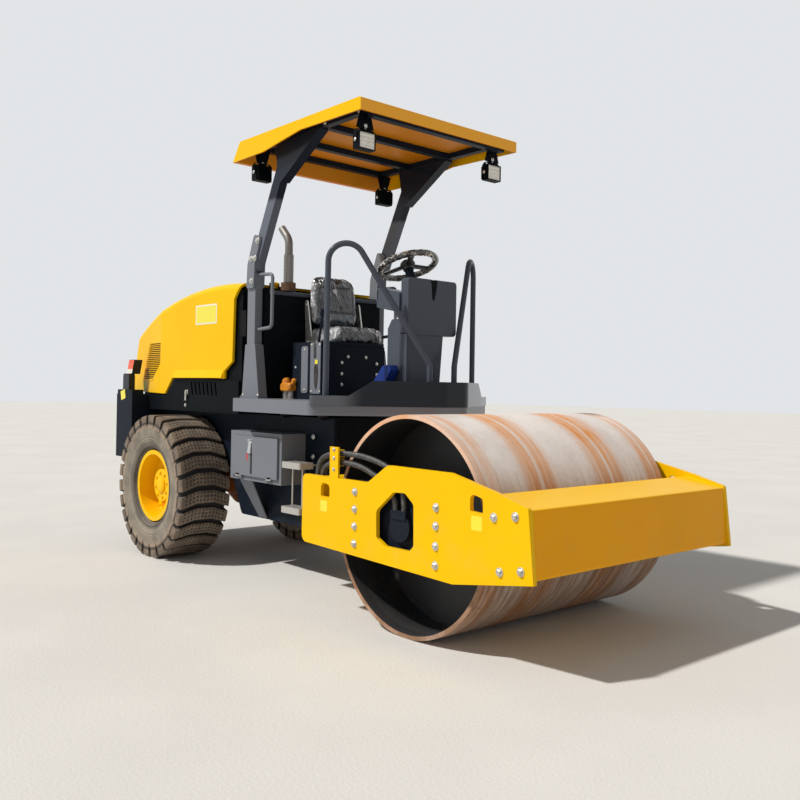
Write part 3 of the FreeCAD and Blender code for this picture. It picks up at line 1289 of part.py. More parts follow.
def make_locker():
    inner = -CHASSIS_HALF - SEAT_GAP
    outer = -BOX_OUT
    shell = block(BOX_X0, BOX_X1, outer, inner, BOX_Z0, BOX_Z1)
    hollow = block(BOX_X0 + BOX_WALL, BOX_X1 - BOX_WALL, outer - 1, inner - BOX_WALL,
                   BOX_Z0 + BOX_WALL, BOX_Z1 - BOX_WALL)
    face = block(BOX_X0 + 1, BOX_X1 - 1, outer, outer + BOX_WALL, BOX_Z0 + 1, BOX_Z1 - 1)
    mouth = block(BOX_X0 + DOOR_RIM + 12, BOX_X1 - DOOR_RIM - 12, outer - 1, outer + BOX_WALL + 1,
                  BOX_Z0 + DOOR_RIM + 12, BOX_Z1 - DOOR_RIM - 12)
    brace_points = [V(-1980, outer + 20, BOX_Z0), V(-1820, outer + 20, BOX_Z0), V(-1890, inner, CHASSIS_LOW + 8),
                    V(-1990, inner, CHASSIS_LOW + 8)]
    brace = Part.Face(Part.makePolygon(brace_points + brace_points[:1])).extrude(V(0, -10, 0))
    brace = brace.common(block(-2100, -1700, outer, inner, CHASSIS_LOW, BOX_Z0 + 1))
    pieces = [shell.cut(hollow), face.cut(mouth), brace]
    z = BOX_Z0 + DOOR_HINGE_UP
    pin_y = outer - DOOR_PIN_OUT
    for x in DOOR_HINGE_XS:
        low = x - DOOR_HINGE_HALF
        high = x + DOOR_HINGE_HALF
        pieces.append(rod(V(low, pin_y, z), V(high, pin_y, z), DOOR_PIN_R - RUN_GAP))
        for end in (low, high - 6):
            pieces.append(block(end, end + 6, outer - 15, outer + 1, z - 7, z + 7))
    return joined(pieces)


def make_locker_door():
    face = -BOX_OUT - DOOR_GAP
    hinge_z = BOX_Z0 + DOOR_HINGE_UP
    pin_y = -BOX_OUT - DOOR_PIN_OUT
    half = DOOR_HINGE_HALF - 10
    pieces = [block(BOX_X0 + DOOR_RIM, BOX_X1 - DOOR_RIM, face - DOOR_T, face, hinge_z + 14, BOX_Z1 - DOOR_RIM)]
    for x in DOOR_HINGE_XS:
        pieces.append(rod(V(x - half, pin_y, hinge_z), V(x + half, pin_y, hinge_z), DOOR_PIN_R + 4))
        pieces.append(block(x - half, x + half, face - DOOR_T, face - 2, hinge_z, hinge_z + 16))
    door = joined(pieces)
    for x in DOOR_HINGE_XS:
        door = door.cut(rod(V(x - half - 5, pin_y, hinge_z), V(x + half + 5, pin_y, hinge_z), DOOR_PIN_R))
    return door


def make_steps():
    pieces = []
    for z in STEP_ZS:
        pieces.append(plate_z([(STEP_X0, -STEP_OUT, 15), (STEP_X1, -STEP_OUT, 15), (STEP_X1, -STEP_IN, 8),
                               (STEP_X0, -STEP_IN, 8)], z - STEP_T, z))
        for x in (STEP_X0 + 40, STEP_X1 - 40):
            pieces.append(block(x - 12, x + 12, -STEP_IN - 1, -CHASSIS_HALF, z - 26, z - 14))
    for x in (STEP_X0 + 60, STEP_X1 - 40):
        pieces.append(rod(V(x, -600, STEP_ZS[1] - 5), V(x, -600, STEP_ZS[0] - STEP_T + 5), 6))
    return joined(pieces)


NODES["lockers"] = on_both(make_locker())
NODES["locker_door_right"] = make_locker_door()
NODES["locker_door_left"] = mirrored(NODES["locker_door_right"])
NODES["steps"] = on_both(make_steps())


# Shift to the middle of the machine's length and write one file for each node
MIDDLE = V((REAR_REACH - NOSE_REACH) / 2, 0, 0)
os.makedirs("parts", exist_ok=True)
for name, shape in NODES.items():
    shape.translate(MIDDLE)
    shape.exportStep("parts/" + name + ".step")
    bounds = shape.BoundBox
    print(name, len(shape.Solids), shape.isValid(), round(shape.Volume / 1e6, 1),
          [round(v) for v in (bounds.XMin, bounds.XMax, bounds.YMin, bounds.YMax, bounds.ZMin, bounds.ZMax)])
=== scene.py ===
import math
from functools import partialmethod

import bpy
import numpy as np
from mathutils import Matrix, Vector


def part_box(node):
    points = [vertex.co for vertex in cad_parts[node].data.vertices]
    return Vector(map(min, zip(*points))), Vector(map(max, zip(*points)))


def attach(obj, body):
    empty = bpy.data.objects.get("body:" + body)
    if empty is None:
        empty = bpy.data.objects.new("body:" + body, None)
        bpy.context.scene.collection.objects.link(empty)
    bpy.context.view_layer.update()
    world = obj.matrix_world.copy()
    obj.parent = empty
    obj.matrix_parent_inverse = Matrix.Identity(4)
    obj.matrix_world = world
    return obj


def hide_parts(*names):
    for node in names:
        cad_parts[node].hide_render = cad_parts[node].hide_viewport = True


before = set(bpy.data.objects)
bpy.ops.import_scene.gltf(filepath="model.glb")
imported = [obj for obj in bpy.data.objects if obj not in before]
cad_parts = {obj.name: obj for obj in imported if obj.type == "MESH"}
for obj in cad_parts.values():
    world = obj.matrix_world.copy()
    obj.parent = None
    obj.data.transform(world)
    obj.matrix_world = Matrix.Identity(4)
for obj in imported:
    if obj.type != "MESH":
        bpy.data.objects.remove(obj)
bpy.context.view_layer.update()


# Camera: it stands off the roller's right front corner at chest height, as in the photograph.
# Its place in metres, its turns in degrees and its lens come from the solved view.
CAMERA_PLACE = (5.072, -3.963, 1.338)
CAMERA_YAW, CAMERA_PITCH, CAMERA_ROLL = 48.807, -0.583, 0.942
FOCAL_PIXELS, CENTRE_ROW, IMAGE_PIXELS = 884.769, 379.877, 800.0
camera_data = bpy.data.cameras.new("camera")
camera_data.sensor_width = 36.0
camera_data.lens = FOCAL_PIXELS / IMAGE_PIXELS * camera_data.sensor_width
camera_data.shift_y = (CENTRE_ROW - IMAGE_PIXELS / 2) / IMAGE_PIXELS
camera_data.clip_end = 200.0
camera = bpy.data.objects.new("camera", camera_data)
camera_turned = Matrix.Translation(CAMERA_PLACE)
for degrees, axis in ((CAMERA_YAW, "Z"), (90.0 - CAMERA_PITCH, "X"), (CAMERA_ROLL, "Z")):
    camera_turned = camera_turned @ Matrix.Rotation(math.radians(degrees), 4, axis)
camera.matrix_world = camera_turned
bpy.context.scene.collection.objects.link(camera)
bpy.context.scene.camera = camera


# Studio: a pale concrete floor, an even white sky and one sun from the roller's right side.
# The floor keeps the shadow, and the sky is nearly white where the camera or a shiny face sees it.
class Shade:
    """A shader socket that takes part in sums: every operator adds the Math node that works it out."""

    def __init__(self, tree, socket):
        self.tree, self.socket = tree, socket

    def math(self, operation, *others):
        node = self.tree.nodes.new("ShaderNodeMath")
        node.operation = operation
        for slot, value in enumerate((self,) + others):
            plug(self.tree, value, node.inputs[slot])
        return Shade(self.tree, node.outputs[0])

    __add__ = __radd__ = partialmethod(math, "ADD")
    __sub__ = partialmethod(math, "SUBTRACT")
    __mul__ = __rmul__ = partialmethod(math, "MULTIPLY")
    __truediv__ = partialmethod(math, "DIVIDE")
    __pow__ = partialmethod(math, "POWER")
    above = partialmethod(math, "GREATER_THAN")
    below = partialmethod(math, "LESS_THAN")
    largest = partialmethod(math, "MAXIMUM")
    smallest = partialmethod(math, "MINIMUM")
    size = partialmethod(math, "ABSOLUTE")
    sine = partialmethod(math, "SINE")

    def __rsub__(self, other):
        return (self * -1.0) + other

    def in_cell(self):
        """How far the value lies from halfway between two whole numbers."""
        return (self.math("FRACT") - 0.5).size()

    def step(self, low, high):
        """Rises smoothly from 0 where the value is low to 1 where it is high."""
        node = self.tree.nodes.new("ShaderNodeMapRange")
        node.interpolation_type = "SMOOTHSTEP"
        settings = (self, min(low, high), max(low, high), float(low >= high), float(low < high))
        for slot, value in enumerate(settings):
            plug(self.tree, value, node.inputs[slot])
        return Shade(self.tree, node.outputs[0])


def plug(tree, value, socket):
    """Feeds a socket from a Shade, a bare socket, a number, or a colour or vector of numbers."""
    if isinstance(value, Shade):
        tree.links.new(value.socket, socket)
    elif isinstance(value, bpy.types.NodeSocket):
        tree.links.new(value, socket)
    elif isinstance(value, (int, float)):
        socket.default_value = value
    else:
        socket.default_value = (tuple(value) + (1.0,))[:len(socket.default_value)]


def apart(first, second):
    """The distance whose two legs are given."""
    return (first * first + second * second) ** 0.5


class Finish:
    """One surface finish: a Principled shader, the nodes that feed it and the name of its colour slot, which
    is only stored.
    """

    def __init__(self, name, slot=None):
        self.slot = slot
        self.material = bpy.data.materials.new(name)
        self.material.use_nodes = True
        self.tree = self.material.node_tree
        self.shader = self.tree.nodes["Principled BSDF"]
        self.place = self.node("ShaderNodeTexCoord", out="Object")

    def node(self, kind, settings=None, out=0, **values):
        made = self.tree.nodes.new(kind)
        for key, value in (settings or {}).items():
            setattr(made, key, value)
        for key, value in values.items():
            plug(self.tree, value, made.inputs[key.replace("_", " ")])
        return Shade(self.tree, made.outputs[out])

    def part(self, vector, name):
        return self.node("ShaderNodeSeparateXYZ", out=name, Vector=vector)

    def axis(self, name):
        """One coordinate of the point, in metres."""
        return self.part(self.place, name)

    def facing(self, name):
        """One number of the direction that the surface faces."""
        return self.part(self.node("ShaderNodeNewGeometry", out="Normal"), name)

    def weave(self, first, second, pitch):
        """A mesh of threads: two sine waves, one along each axis, multiplied."""
        return (self.axis(first) * pitch).sine() * (self.axis(second) * pitch).sine()

    def noise(self, scale, detail=3.0, rough=0.5, stretch=None):
        """Noise at the point, or with each coordinate multiplied first, so that it is drawn out."""
        at = self.node("ShaderNodeMapping", Vector=self.place, Scale=stretch) if stretch else self.place
        return self.node("ShaderNodeTexNoise", Vector=at, Scale=scale, Detail=detail, Roughness=rough)

    def mix(self, factor, first, second):
        made = self.tree.nodes.new("ShaderNodeMix")
        made.data_type = "RGBA"
        for slot, value in ((0, factor), (6, first), (7, second)):
            plug(self.tree, value, made.inputs[slot])
        return Shade(self.tree, made.outputs[2])

    def bump(self, height, depth, strength=1.0, **values):
        """Relief: height 0 to 1 raises the surface by depth metres."""
        return self.node("ShaderNodeBump", Height=height, Distance=depth, Strength=strength, **values)

    def set(self, **values):
        for key, value in values.items():
            plug(self.tree, value, self.shader.inputs[key.replace("_", " ")])
        return self

    def mottled(self, scale, first, second, edges=None, detail=3.0, **values):
        """Sets a colour that drifts from one to another, sharply where edges are given, and the rest."""
        drift = self.noise(scale, detail)
        return self.set(Base_Color=self.mix(drift.step(*edges) if edges else drift, first, second), **values)

    def put_on(self, *names):
        """Gives CAD nodes this finish."""
        for name in names:
            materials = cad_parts[name].data.materials
            materials.clear()
            materials.append(self.material)


concrete = Finish("concrete")
concrete.mottled(0.8, (0.66, 0.65, 0.63), (0.70, 0.69, 0.665), (0.35, 0.7), 4.0, Roughness=0.9,
    Normal=concrete.bump(concrete.noise(60.0, 4.0), 0.002))
FLOOR_REACH = 60.0
floor_mesh = bpy.data.meshes.new("floor")
floor_corners = np.array([(-1, -1, 0), (1, -1, 0), (1, 1, 0), (-1, 1, 0)]) * FLOOR_REACH
floor_mesh.from_pydata(floor_corners.tolist(), [], [(0, 1, 2, 3)])
floor_mesh.materials.append(concrete.material)
floor = bpy.data.objects.new("floor", floor_mesh)
bpy.context.scene.collection.objects.link(floor)

SUN_SHINES = (0.42, 0.85, -1.15)
sun_data = bpy.data.lights.new("sun", "SUN")
sun_data.energy = 3.3
sun_data.angle = math.radians(2.5)
sun_data.color = (1.0, 0.97, 0.92)
sun = bpy.data.objects.new("sun", sun_data)
sun.rotation_euler = Vector(SUN_SHINES).to_track_quat("-Z", "Y").to_euler()
bpy.context.scene.collection.objects.link(sun)

world = bpy.data.worlds.new("sky")
bpy.context.scene.world = world
world.use_nodes = True
sky = world.node_tree
sky_light, sky_seen = sky.nodes["Background"], sky.nodes.new("ShaderNodeBackground")
for light, colour, strength in ((sky_light, (0.97, 0.96, 0.95), 0.32), (sky_seen, (0.76, 0.78, 0.80), 1.0)):
    plug(sky, colour, light.inputs["Color"])
    plug(sky, strength, light.inputs["Strength"])
ray = sky.nodes.new("ShaderNodeLightPath").outputs
seen = Shade(sky, ray["Is Camera Ray"]) + ray["Is Glossy Ray"] + ray["Is Transmission Ray"]
sky_mix = sky.nodes.new("ShaderNodeMixShader")
for slot, source in enumerate((seen.smallest(1.0).socket, sky_light.outputs[0], sky_seen.outputs[0])):
    sky.links.new(source, sky_mix.inputs[slot])
sky.links.new(sky_mix.outputs[0], sky.nodes["World Output"].inputs["Surface"])
bpy.context.scene.view_settings.view_transform = "Standard"


# Yellow panels: side plates, beams, hose post and hood, in gloss enamel sprayed over steel.
# The enamel has a fine orange peel, a little dust low down, and edges rounded by the paint.
def enamel(name, slot, colour, dust, rough, dusty, coat=0.06, haze=0.08, shine=0.10, ahead=None):
    """Gloss enamel over steel, with dust that thickens downward. Faces that look forward may take a deeper
    colour, which is painted shade.
    """
    paint = Finish(name, slot)
    mottle = paint.noise(2.2).step(0.3, 0.75)
    tone_and_front_shade = paint.mix(mottle, colour, [part * 0.94 for part in colour])
    # ahead is the deeper colour given to faces that look forward: painted shade
    if ahead:
        shaded = paint.mix(mottle, ahead, [part * 0.93 for part in ahead])
        tone_and_front_shade = paint.mix(paint.facing("X").step(0.55, 0.85), tone_and_front_shade, shaded)
    low = paint.axis("Z").step(1.0, 0.3)
    dirt = paint.noise(7.0, 7.0, 0.68).step(0.45, 0.8) * (low * 0.9 + 0.1) * dusty
    rounded_edge = paint.node("ShaderNodeBevel", Radius=0.003)
    return paint.set(Base_Color=paint.mix(dirt, tone_and_front_shade, dust), Roughness=dirt * 0.6 + rough,
        Specular_IOR_Level=shine, Coat_Weight=coat, Coat_Roughness=haze,
        Normal=paint.bump(paint.noise(420.0, 2.0), 0.0004, 0.3, Normal=rounded_edge))


YELLOW, SHADE_ORANGE, DUST = (0.96, 0.55, 0.001), (0.97, 0.42, 0.001), (0.50, 0.42, 0.28)
yellow = enamel("yellow_enamel", "yellow_paint", YELLOW, DUST, 0.32, 0.12, coat=0.04, shine=0.07)
yellow.put_on("frame_side_right", "frame_side_left", "rear_beam", "hose_post", "hood")
# The front beam's forward faces take a deeper orange: painted shade.
beam_yellow_and_shade = enamel("beam_enamel_and_shade", "yellow_paint", YELLOW, DUST, 0.32, 0.12, coat=0.04, shine=0.07,
    ahead=SHADE_ORANGE)
beam_yellow_and_shade.put_on("front_beam")


# Skins: every new piece is put together from closed skins, each a stack of rings of points.
# The same few shapes make bolts, plates, tubes and covers all over the machine.
AHEAD, LEFT, UP = (1, 0, 0), (0, 1, 0), (0, 0, 1)
SIDES = (("right", -1), ("left", 1))


class Piece:
    """A new piece. Each skin joins its rings with quads and closes its two ends to their middle."""

    def __init__(self):
        self.points, self.faces = np.empty((0, 3)), []

    def skin(self, rings, endless=False):
        """Adds a stack of rings, rows x columns x 3, and turns its faces outward by its volume."""
        rings = np.asarray(rings, dtype=float)
        rows, columns = rings.shape[:2]
        here = np.arange(rows * columns).reshape(rows, columns)
        beside = np.roll(here, -1, axis=1)
        quads = np.stack([here, beside, np.roll(beside, -1, axis=0), np.roll(here, -1, axis=0)], axis=-1)
        quads = quads[:rows if endless else rows - 1].reshape(-1, 4)
        points, groups = rings.reshape(-1, 3), [quads]
        if not endless:
            points = np.concatenate([points, [rings[0].mean(axis=0), rings[-1].mean(axis=0)]])
            low = np.full(columns, rows * columns)
            groups += [np.stack(ends, axis=-1) for ends in
                ((beside[0], here[0], low), (here[-1], beside[-1], low + 1))]
        triangles = np.concatenate([quads[:, [0, 2, 3]]] + [group[:, :3] for group in groups])
        a, b, c = np.moveaxis(points[triangles] - points.mean(axis=0), 1, 0)
        volume = np.einsum("ij,ij->i", a, np.cross(b, c)).sum()
        for group in groups:
            self.faces += ((group if volume > 0 else group[:, ::-1]) + len(self.points)).tolist()
        self.points = np.concatenate([self.points, points])
        return self

    def plate(self, size, place, out, thick, edge, right=AHEAD):
        """Adds a flat plate with round corners: size is its width, its height and their radius."""
        return self.skin(slab(rounded(*size), place, right, out, thick, edge))

    def bolt(self, place, out, across, high):
        """Adds a chamfered hexagon head on a round washer, pointing out from the face it holds."""
        washer = (0, across * 0.82), (across * 0.1, across * 0.86), (across * 0.14, across * 0.8)
        self.skin(lathe(washer, place, out))
        head = (0, across * 0.5), (high * 0.85, across * 0.55), (high, across * 0.45)
        return self.skin(lathe(head, place, out, 6))

    def show(self, name, finish, body="root", slot=None, crease=38.0):
        """Makes the piece's object, smooth but for edges sharper than the crease angle, and lets it ride."""
        mesh = bpy.data.meshes.new(name)
        mesh.from_pydata(self.points.tolist(), [], self.faces)
        mesh.shade_smooth()
        mesh.set_sharp_from_angle(angle=math.radians(crease))
        mesh.materials.append(finish.material)
        made = bpy.data.objects.new(name, mesh)
        bpy.context.scene.collection.objects.link(made)
        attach(made, body)
        return made


def unit(vector):
    vector = np.asarray(vector, dtype=float)
    return vector / np.linalg.norm(vector, axis=-1, keepdims=True)


def circle(radius, sides=16):
    angle = np.arange(sides) * 2 * math.pi / sides
    return radius * np.stack([np.cos(angle), np.sin(angle)], axis=-1)


def lathe(profile, centre, axis, sides=24):
    """Rings of a turned shape: each (distance along the axis, radius) becomes a circle of points about it."""
    axis = unit(axis)
    across = unit(np.cross(axis, (0.31, 0.52, 0.80)))
    spoke = circle(1.0, sides) @ np.stack([across, np.cross(axis, across)])
    profile = np.asarray(profile, dtype=float)
    return np.asarray(centre) + profile[:, 0, None, None] * axis + profile[:, 1, None, None] * spoke


def rounded(width, height, radius, steps=5):
    """Outline of a rectangle with round corners, about its middle: a quarter circle at each corner."""
    corners = []
    for quarter, (a, b) in enumerate(((1, 1), (-1, 1), (-1, -1), (1, -1))):
        angle = np.linspace(0, math.pi / 2, steps) + quarter * math.pi / 2
        middle = np.array([a * (width / 2 - radius), b * (height / 2 - radius)])
        corners.append(middle + radius * np.stack([np.cos(angle), np.sin(angle)], axis=-1))
    return np.concatenate(corners)


def slab(outline, centre, right, out, thick, edge):
    """Rings of a flat plate: its outline about centre, raised along out, with both edges eased inward."""
    right, out = unit(right), unit(out)
    across = np.stack([right, np.cross(out, right)])
    outline = np.asarray(outline, dtype=float)
    drawn = outline * (1 - edge / np.linalg.norm(outline, axis=1, keepdims=True))
    stack = (drawn, 0.0), (outline, edge), (outline, thick - edge), (drawn, thick)
    return [np.asarray(centre) + flat @ across + height * out for flat, height in stack]


def corners_of(name):
    """The low and the high corner of a CAD node."""
    return (np.array(corner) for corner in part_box(name))


# Frame bolts: hexagon heads through the side plates, holding the drum supports and the front beam.
# Zinc-plated steel with a thin yellow chromate tint, each on its washer.
zinc = Finish("zinc_plate", "bright_steel")
zinc.mottled(38.0, (0.66, 0.66, 0.64), (0.52, 0.50, 0.43), (0.35, 0.7), Metallic=0.85,
    Roughness=zinc.noise(90.0) * 0.25 + 0.22)
drum_low, drum_high = corners_of("drum")
DRUM_X, _, DRUM_Z = ((drum_low + drum_high) / 2).tolist()
PLATE_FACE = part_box("frame_side_left")[1][1]
# forward of the drum's axle, up from the floor
PLATE_BOLTS = ((-0.34, 0.758), (-0.34, 0.661), (-0.34, 0.565), (-0.34, 0.468), (0.319, 0.743), (0.319, 0.649),
    (0.319, 0.548), (0.319, 0.451), (0.713, 0.740), (0.847, 0.758), (0.755, 0.490), (0.884, 0.512))
for side, sign in SIDES:
    heads = Piece()
    for ahead, up_by in PLATE_BOLTS:
        heads.bolt((DRUM_X + ahead, sign * PLATE_FACE, up_by), (0, sign, 0), 0.026, 0.016)
    heads.show(f"frame_bolts_{side}", zinc, "front_frame")


# Blank labels: thin vinyl patches beside the lifting eyes and on the hood's flank.
# Each is left bare, a paler yellow than the paint, and the hood's has a white border.
vinyl_yellow = Finish("label_yellow", "yellow_paint").mottled(30.0, (0.92, 0.80, 0.02), (0.86, 0.74, 0.02),
    Roughness=0.28, Coat_Weight=0.6)
vinyl_white = Finish("label_white", "yellow_paint").mottled(30.0, (0.86, 0.85, 0.78), (0.78, 0.77, 0.70),
    Roughness=0.3, Coat_Weight=0.5)
# forward of the axle, up from the floor, width, height
FRAME_LABELS = ((-0.632, 0.647, 0.066, 0.064), (0.602, 0.698, 0.072, 0.070))
for side, sign in SIDES:
    labels = Piece()
    for ahead, up_by, wide, high in FRAME_LABELS:
        labels.plate((wide, high, 0.004), (DRUM_X + ahead, sign * PLATE_FACE, up_by), (0, sign, 0), 0.0008,
            0.0002)
    labels.show(f"frame_labels_{side}", vinyl_yellow, "front_frame")
HOOD_HALF = 0.620
HOOD_LABEL_X, HOOD_LABEL_Z = -1.018, 1.885
for side, sign in SIDES:
    for part, finish, size, thick in (("border", vinyl_white, (0.325, 0.150, 0.006), 0.0008),
            ("field", vinyl_yellow, (0.303, 0.128, 0.004), 0.0014)):
        place = (HOOD_LABEL_X, sign * HOOD_HALF, HOOD_LABEL_Z)
        label = Piece().plate(size, place, (0, sign, 0), thick, 0.0002)
        label.show(f"hood_label_{part}_{side}", finish, "hood")


# Drum: rolled steel shell with two recessed heads, bare and lightly rusted outside, primed dark inside.
# Rust lies in bands round it, where scraper and road have rubbed, and in small pits between them.
drum_steel = Finish("drum_steel")
across = drum_steel.axis("Y")
radius = apart(drum_steel.axis("X") - DRUM_X, drum_steel.axis("Z") - DRUM_Z)
SHELL_R = float(drum_high[2] - drum_low[2]) / 2
SHELL_HALF = float(drum_high[1])
swayed = across + (drum_steel.noise(1.1, 2.0) - 0.5) * 0.08
patch = drum_steel.noise(2.6, 5.0, 0.6).step(0.35, 0.68)
streak = drum_steel.noise(3.0, 5.0, 0.68, (0.7, 11.0, 0.7)).step(0.38, 0.60)
bands = 0.0
# middle of a band, its half width, its strength
for middle, half, strength in ((-0.32, 0.17, 1.0), (0.30, 0.18, 1.0), (0.72, 0.10, 0.8), (-0.73, 0.11, 0.75)):
    away = (swayed - middle).size()
    band = away.step(half, half * 0.35) * (away.step(0.004, 0.020) * 0.75 + 0.25) * strength
    bands = band.largest(bands)
rust = bands * (streak * 0.40 + 0.62) * (patch * 0.35 + 0.65) + streak * patch * 0.10
# Below about 1 m a brown film darkens the shell, partly dirt and partly painted shade; below 0.8 m more
# painted shade is laid on.
low_dirt_and_shade = drum_steel.axis("Z").step(1.02, 0.70)
drum_underside_shade = drum_steel.axis("Z").step(0.80, 0.45)
pits = drum_steel.noise(38.0, 5.0, 0.75).step(0.52, 0.64) * (patch * 0.6 + 0.2) * (low_dirt_and_shade * 0.8 + 0.2)
scuff = drum_steel.noise(9.0, 5.0, 0.7, (0.6, 5.0, 0.6)).step(0.55, 0.8)
cloud = drum_steel.noise(3.2, 6.0, 0.66).step(0.34, 0.66)
face = drum_steel.mix(cloud, (0.74, 0.64, 0.58), (0.86, 0.79, 0.74))
# each coat lies over the last: how thick, its colour; the third is brown dirt deepened as painted shade, the
# fourth painted shade under the drum
for cover, colour in ((scuff * 0.4, (0.88, 0.84, 0.79)), (rust.smallest(1.0), (0.76, 0.265, 0.008)),
        (low_dirt_and_shade * (streak * 0.35 + 0.20), (0.36, 0.19, 0.09)),
        (drum_underside_shade * (streak * 0.30 + 0.40), (0.17, 0.085, 0.045)), (pits * 0.85, (0.17, 0.10, 0.065))):
    face = drum_steel.mix(cover, face, colour)
outside = radius.above(SHELL_R - 0.029) * across.size().above(SHELL_HALF - 0.004)
outside = outside.largest(radius.above(SHELL_R - 0.003))
inside = drum_steel.mix(patch * 0.5, (0.016, 0.019, 0.023), (0.045, 0.036, 0.030))
drum_steel.set(Base_Color=drum_steel.mix(outside, inside, face), Metallic=outside * 0.15,
    Roughness=rust * 0.3 + 0.46, Normal=drum_steel.bump(pits * -0.6 + streak * 0.3, 0.0012))
drum_steel.put_on("drum")


# Wheels' rims, painted the same yellow with road film in the dish, and ten nuts round each hub.
# A ring of smaller bolts and a turned cap close the hub, and a tyre valve stands in the dish.
wheel_yellow = enamel("wheel_enamel", "rim_paint", (0.96, 0.56, 0.002), (0.45, 0.34, 0.18), 0.33, 0.10)
wheel_yellow.put_on("rim_right", "rim_left")
rim_low, rim_high = corners_of("rim_left")
WHEEL_X, _, WHEEL_Z = ((rim_low + rim_high) / 2).tolist()
TRACK_HALF = 0.675
DISC_FACE, HUB_FACE = TRACK_HALF + 0.031, TRACK_HALF + 0.095


def about_axle(turn, circle_radius, sign, face):
    """The point on a wheel's face that lies a turn and a radius from its axle."""
    return (WHEEL_X + circle_radius * math.cos(turn), sign * face, WHEEL_Z + circle_radius * math.sin(turn))


for side, sign in SIDES:
    nuts = Piece()
    out = (0, sign, 0)
    for number in range(10):
        place = about_axle(number * math.pi / 5, 0.158, sign, DISC_FACE)
        nuts.bolt(place, out, 0.030, 0.022)
        nuts.skin(lathe([(0.020, 0.009), (0.034, 0.009), (0.036, 0.007)], place, out, 12))
    for number in range(8):
        nuts.bolt(about_axle(number * math.pi / 4 + 0.2, 0.095, sign, HUB_FACE), out, 0.019, 0.011)
    nuts.skin(lathe([(0, 0.064), (0.010, 0.064), (0.017, 0.052), (0.019, 0.02), (0.019, 0.001)],
        (WHEEL_X, sign * HUB_FACE, WHEEL_Z), out, 32))
    nuts.skin(lathe([(0, 0.011), (0.006, 0.011), (0.007, 0.006), (0.045, 0.006), (0.046, 0.004)],
        about_axle(-2.1, 0.2, sign, DISC_FACE), out, 12))
    nuts.show(f"wheel_nuts_{side}", wheel_yellow, f"wheel_{side}")


# Tyres: wide earth-mover covers with full-width bars, moulded in one with the case, dimpled on top.
# Road dust lies on the bars and the side walls, and the grooves between the bars stay dark.
tyre_rubber = Finish("tyre_rubber", "tyre")
marks = tyre_rubber.node("ShaderNodeAttribute", {"attribute_name": "tread"}, out="Vector")
# along the bar's pitch, across the tyre, raised on a bar
along, sideways, raised = (tyre_rubber.part(marks, name) for name in "XYZ")
DIMPLE_PITCH = 0.029
dimple = (along / DIMPLE_PITCH + 0.25).in_cell().step(0.27, 0.20)
dimple = dimple * (sideways / DIMPLE_PITCH).in_cell().step(0.25, 0.18)
dimple = dimple * raised.above(0.985) * sideways.size().below(0.172)
radius = apart(tyre_rubber.axis("X") - WHEEL_X, tyre_rubber.axis("Z") - WHEEL_Z)
dust_cloud = tyre_rubber.noise(6.0, 6.0, 0.62).step(0.36, 0.64)
fine = tyre_rubber.noise(60.0, 5.0, 0.7).step(0.35, 0.7)
wall = radius.step(0.49, 0.46)
foot = radius.step(0.345, 0.325)
shoulder = radius.step(0.43, 0.47)
tops = raised.step(0.35, 0.95) * (dust_cloud * 0.35 + 0.42) * (fine * 0.35 + 0.65)
dusty = wall * (dust_cloud * 0.30 + 0.46 + shoulder * 0.20)
dusty = dusty.largest(tops) * (1 - dimple * 0.9) * (1 - foot * 0.55)
rings = (radius * 330.0).sine() * wall * radius.step(0.395, 0.385) * 0.12
rings = rings + radius.step(0.357, 0.361) * radius.step(0.369, 0.365) * wall * 0.30
dust_colour = tyre_rubber.mix(shoulder, (0.360, 0.310, 0.245), (0.40, 0.300, 0.215))
tyre_rubber.set(Base_Color=tyre_rubber.mix((dusty + rings).smallest(0.95), (0.016, 0.015, 0.015),
    dust_colour), Roughness=dusty * 0.15 + 0.72, Normal=tyre_rubber.bump(fine * 0.25 - dimple + rings, 0.004))

BAR_COUNT, TYRE_R = 26, 0.551
BAR_PITCH = 2 * math.pi / BAR_COUNT
# place within half a bar's pitch, and how far the cover is raised there
HALF_BAR = ((0, 1), (0.09, 1), (0.18, 1), (0.27, 1), (0.342, 1), (0.354, 0.90), (0.378, 0), (0.42, 0))
BAR_STEPS = np.array([(-0.50, 0)] + [(-at, lift) for at, lift in HALF_BAR[:0:-1]] + list(HALF_BAR))
# radius and distance from the middle plane where bar and case are one, bead to side wall
SIDE_WALL = ((0.2543, 0.144), (0.270, 0.144), (0.281, 0.146), (0.288, 0.156), (0.296, 0.172), (0.304, 0.178),
    (0.310, 0.187), (0.320, 0.187), (0.328, 0.185), (0.350, 0.192), (0.375, 0.197), (0.408, 0.200),
    (0.440, 0.201))
# the same two of the case, then of the bar
SHOULDER = ((0.450, 0.200, 0.452, 0.204), (0.470, 0.197, 0.474, 0.205), (0.486, 0.194, 0.506, 0.205),
    (0.502, 0.189, 0.536, 0.2045), (0.510, 0.180, 0.5475, 0.199), (0.518, 0.168, 0.5508, 0.186),
    (0.524, 0.150, 0.551, 0.165), (0.524, 0.125, 0.551, 0.135), (0.524, 0.100, 0.551, 0.103),
    (0.524, 0.070, 0.551, 0.070), (0.524, 0.035, 0.551, 0.035))
HALF_COVER = np.array([row * 2 for row in SIDE_WALL] + list(SHOULDER))
SWEEP, BEND, BAR_HALF = 0.022, 0.070, 0.205


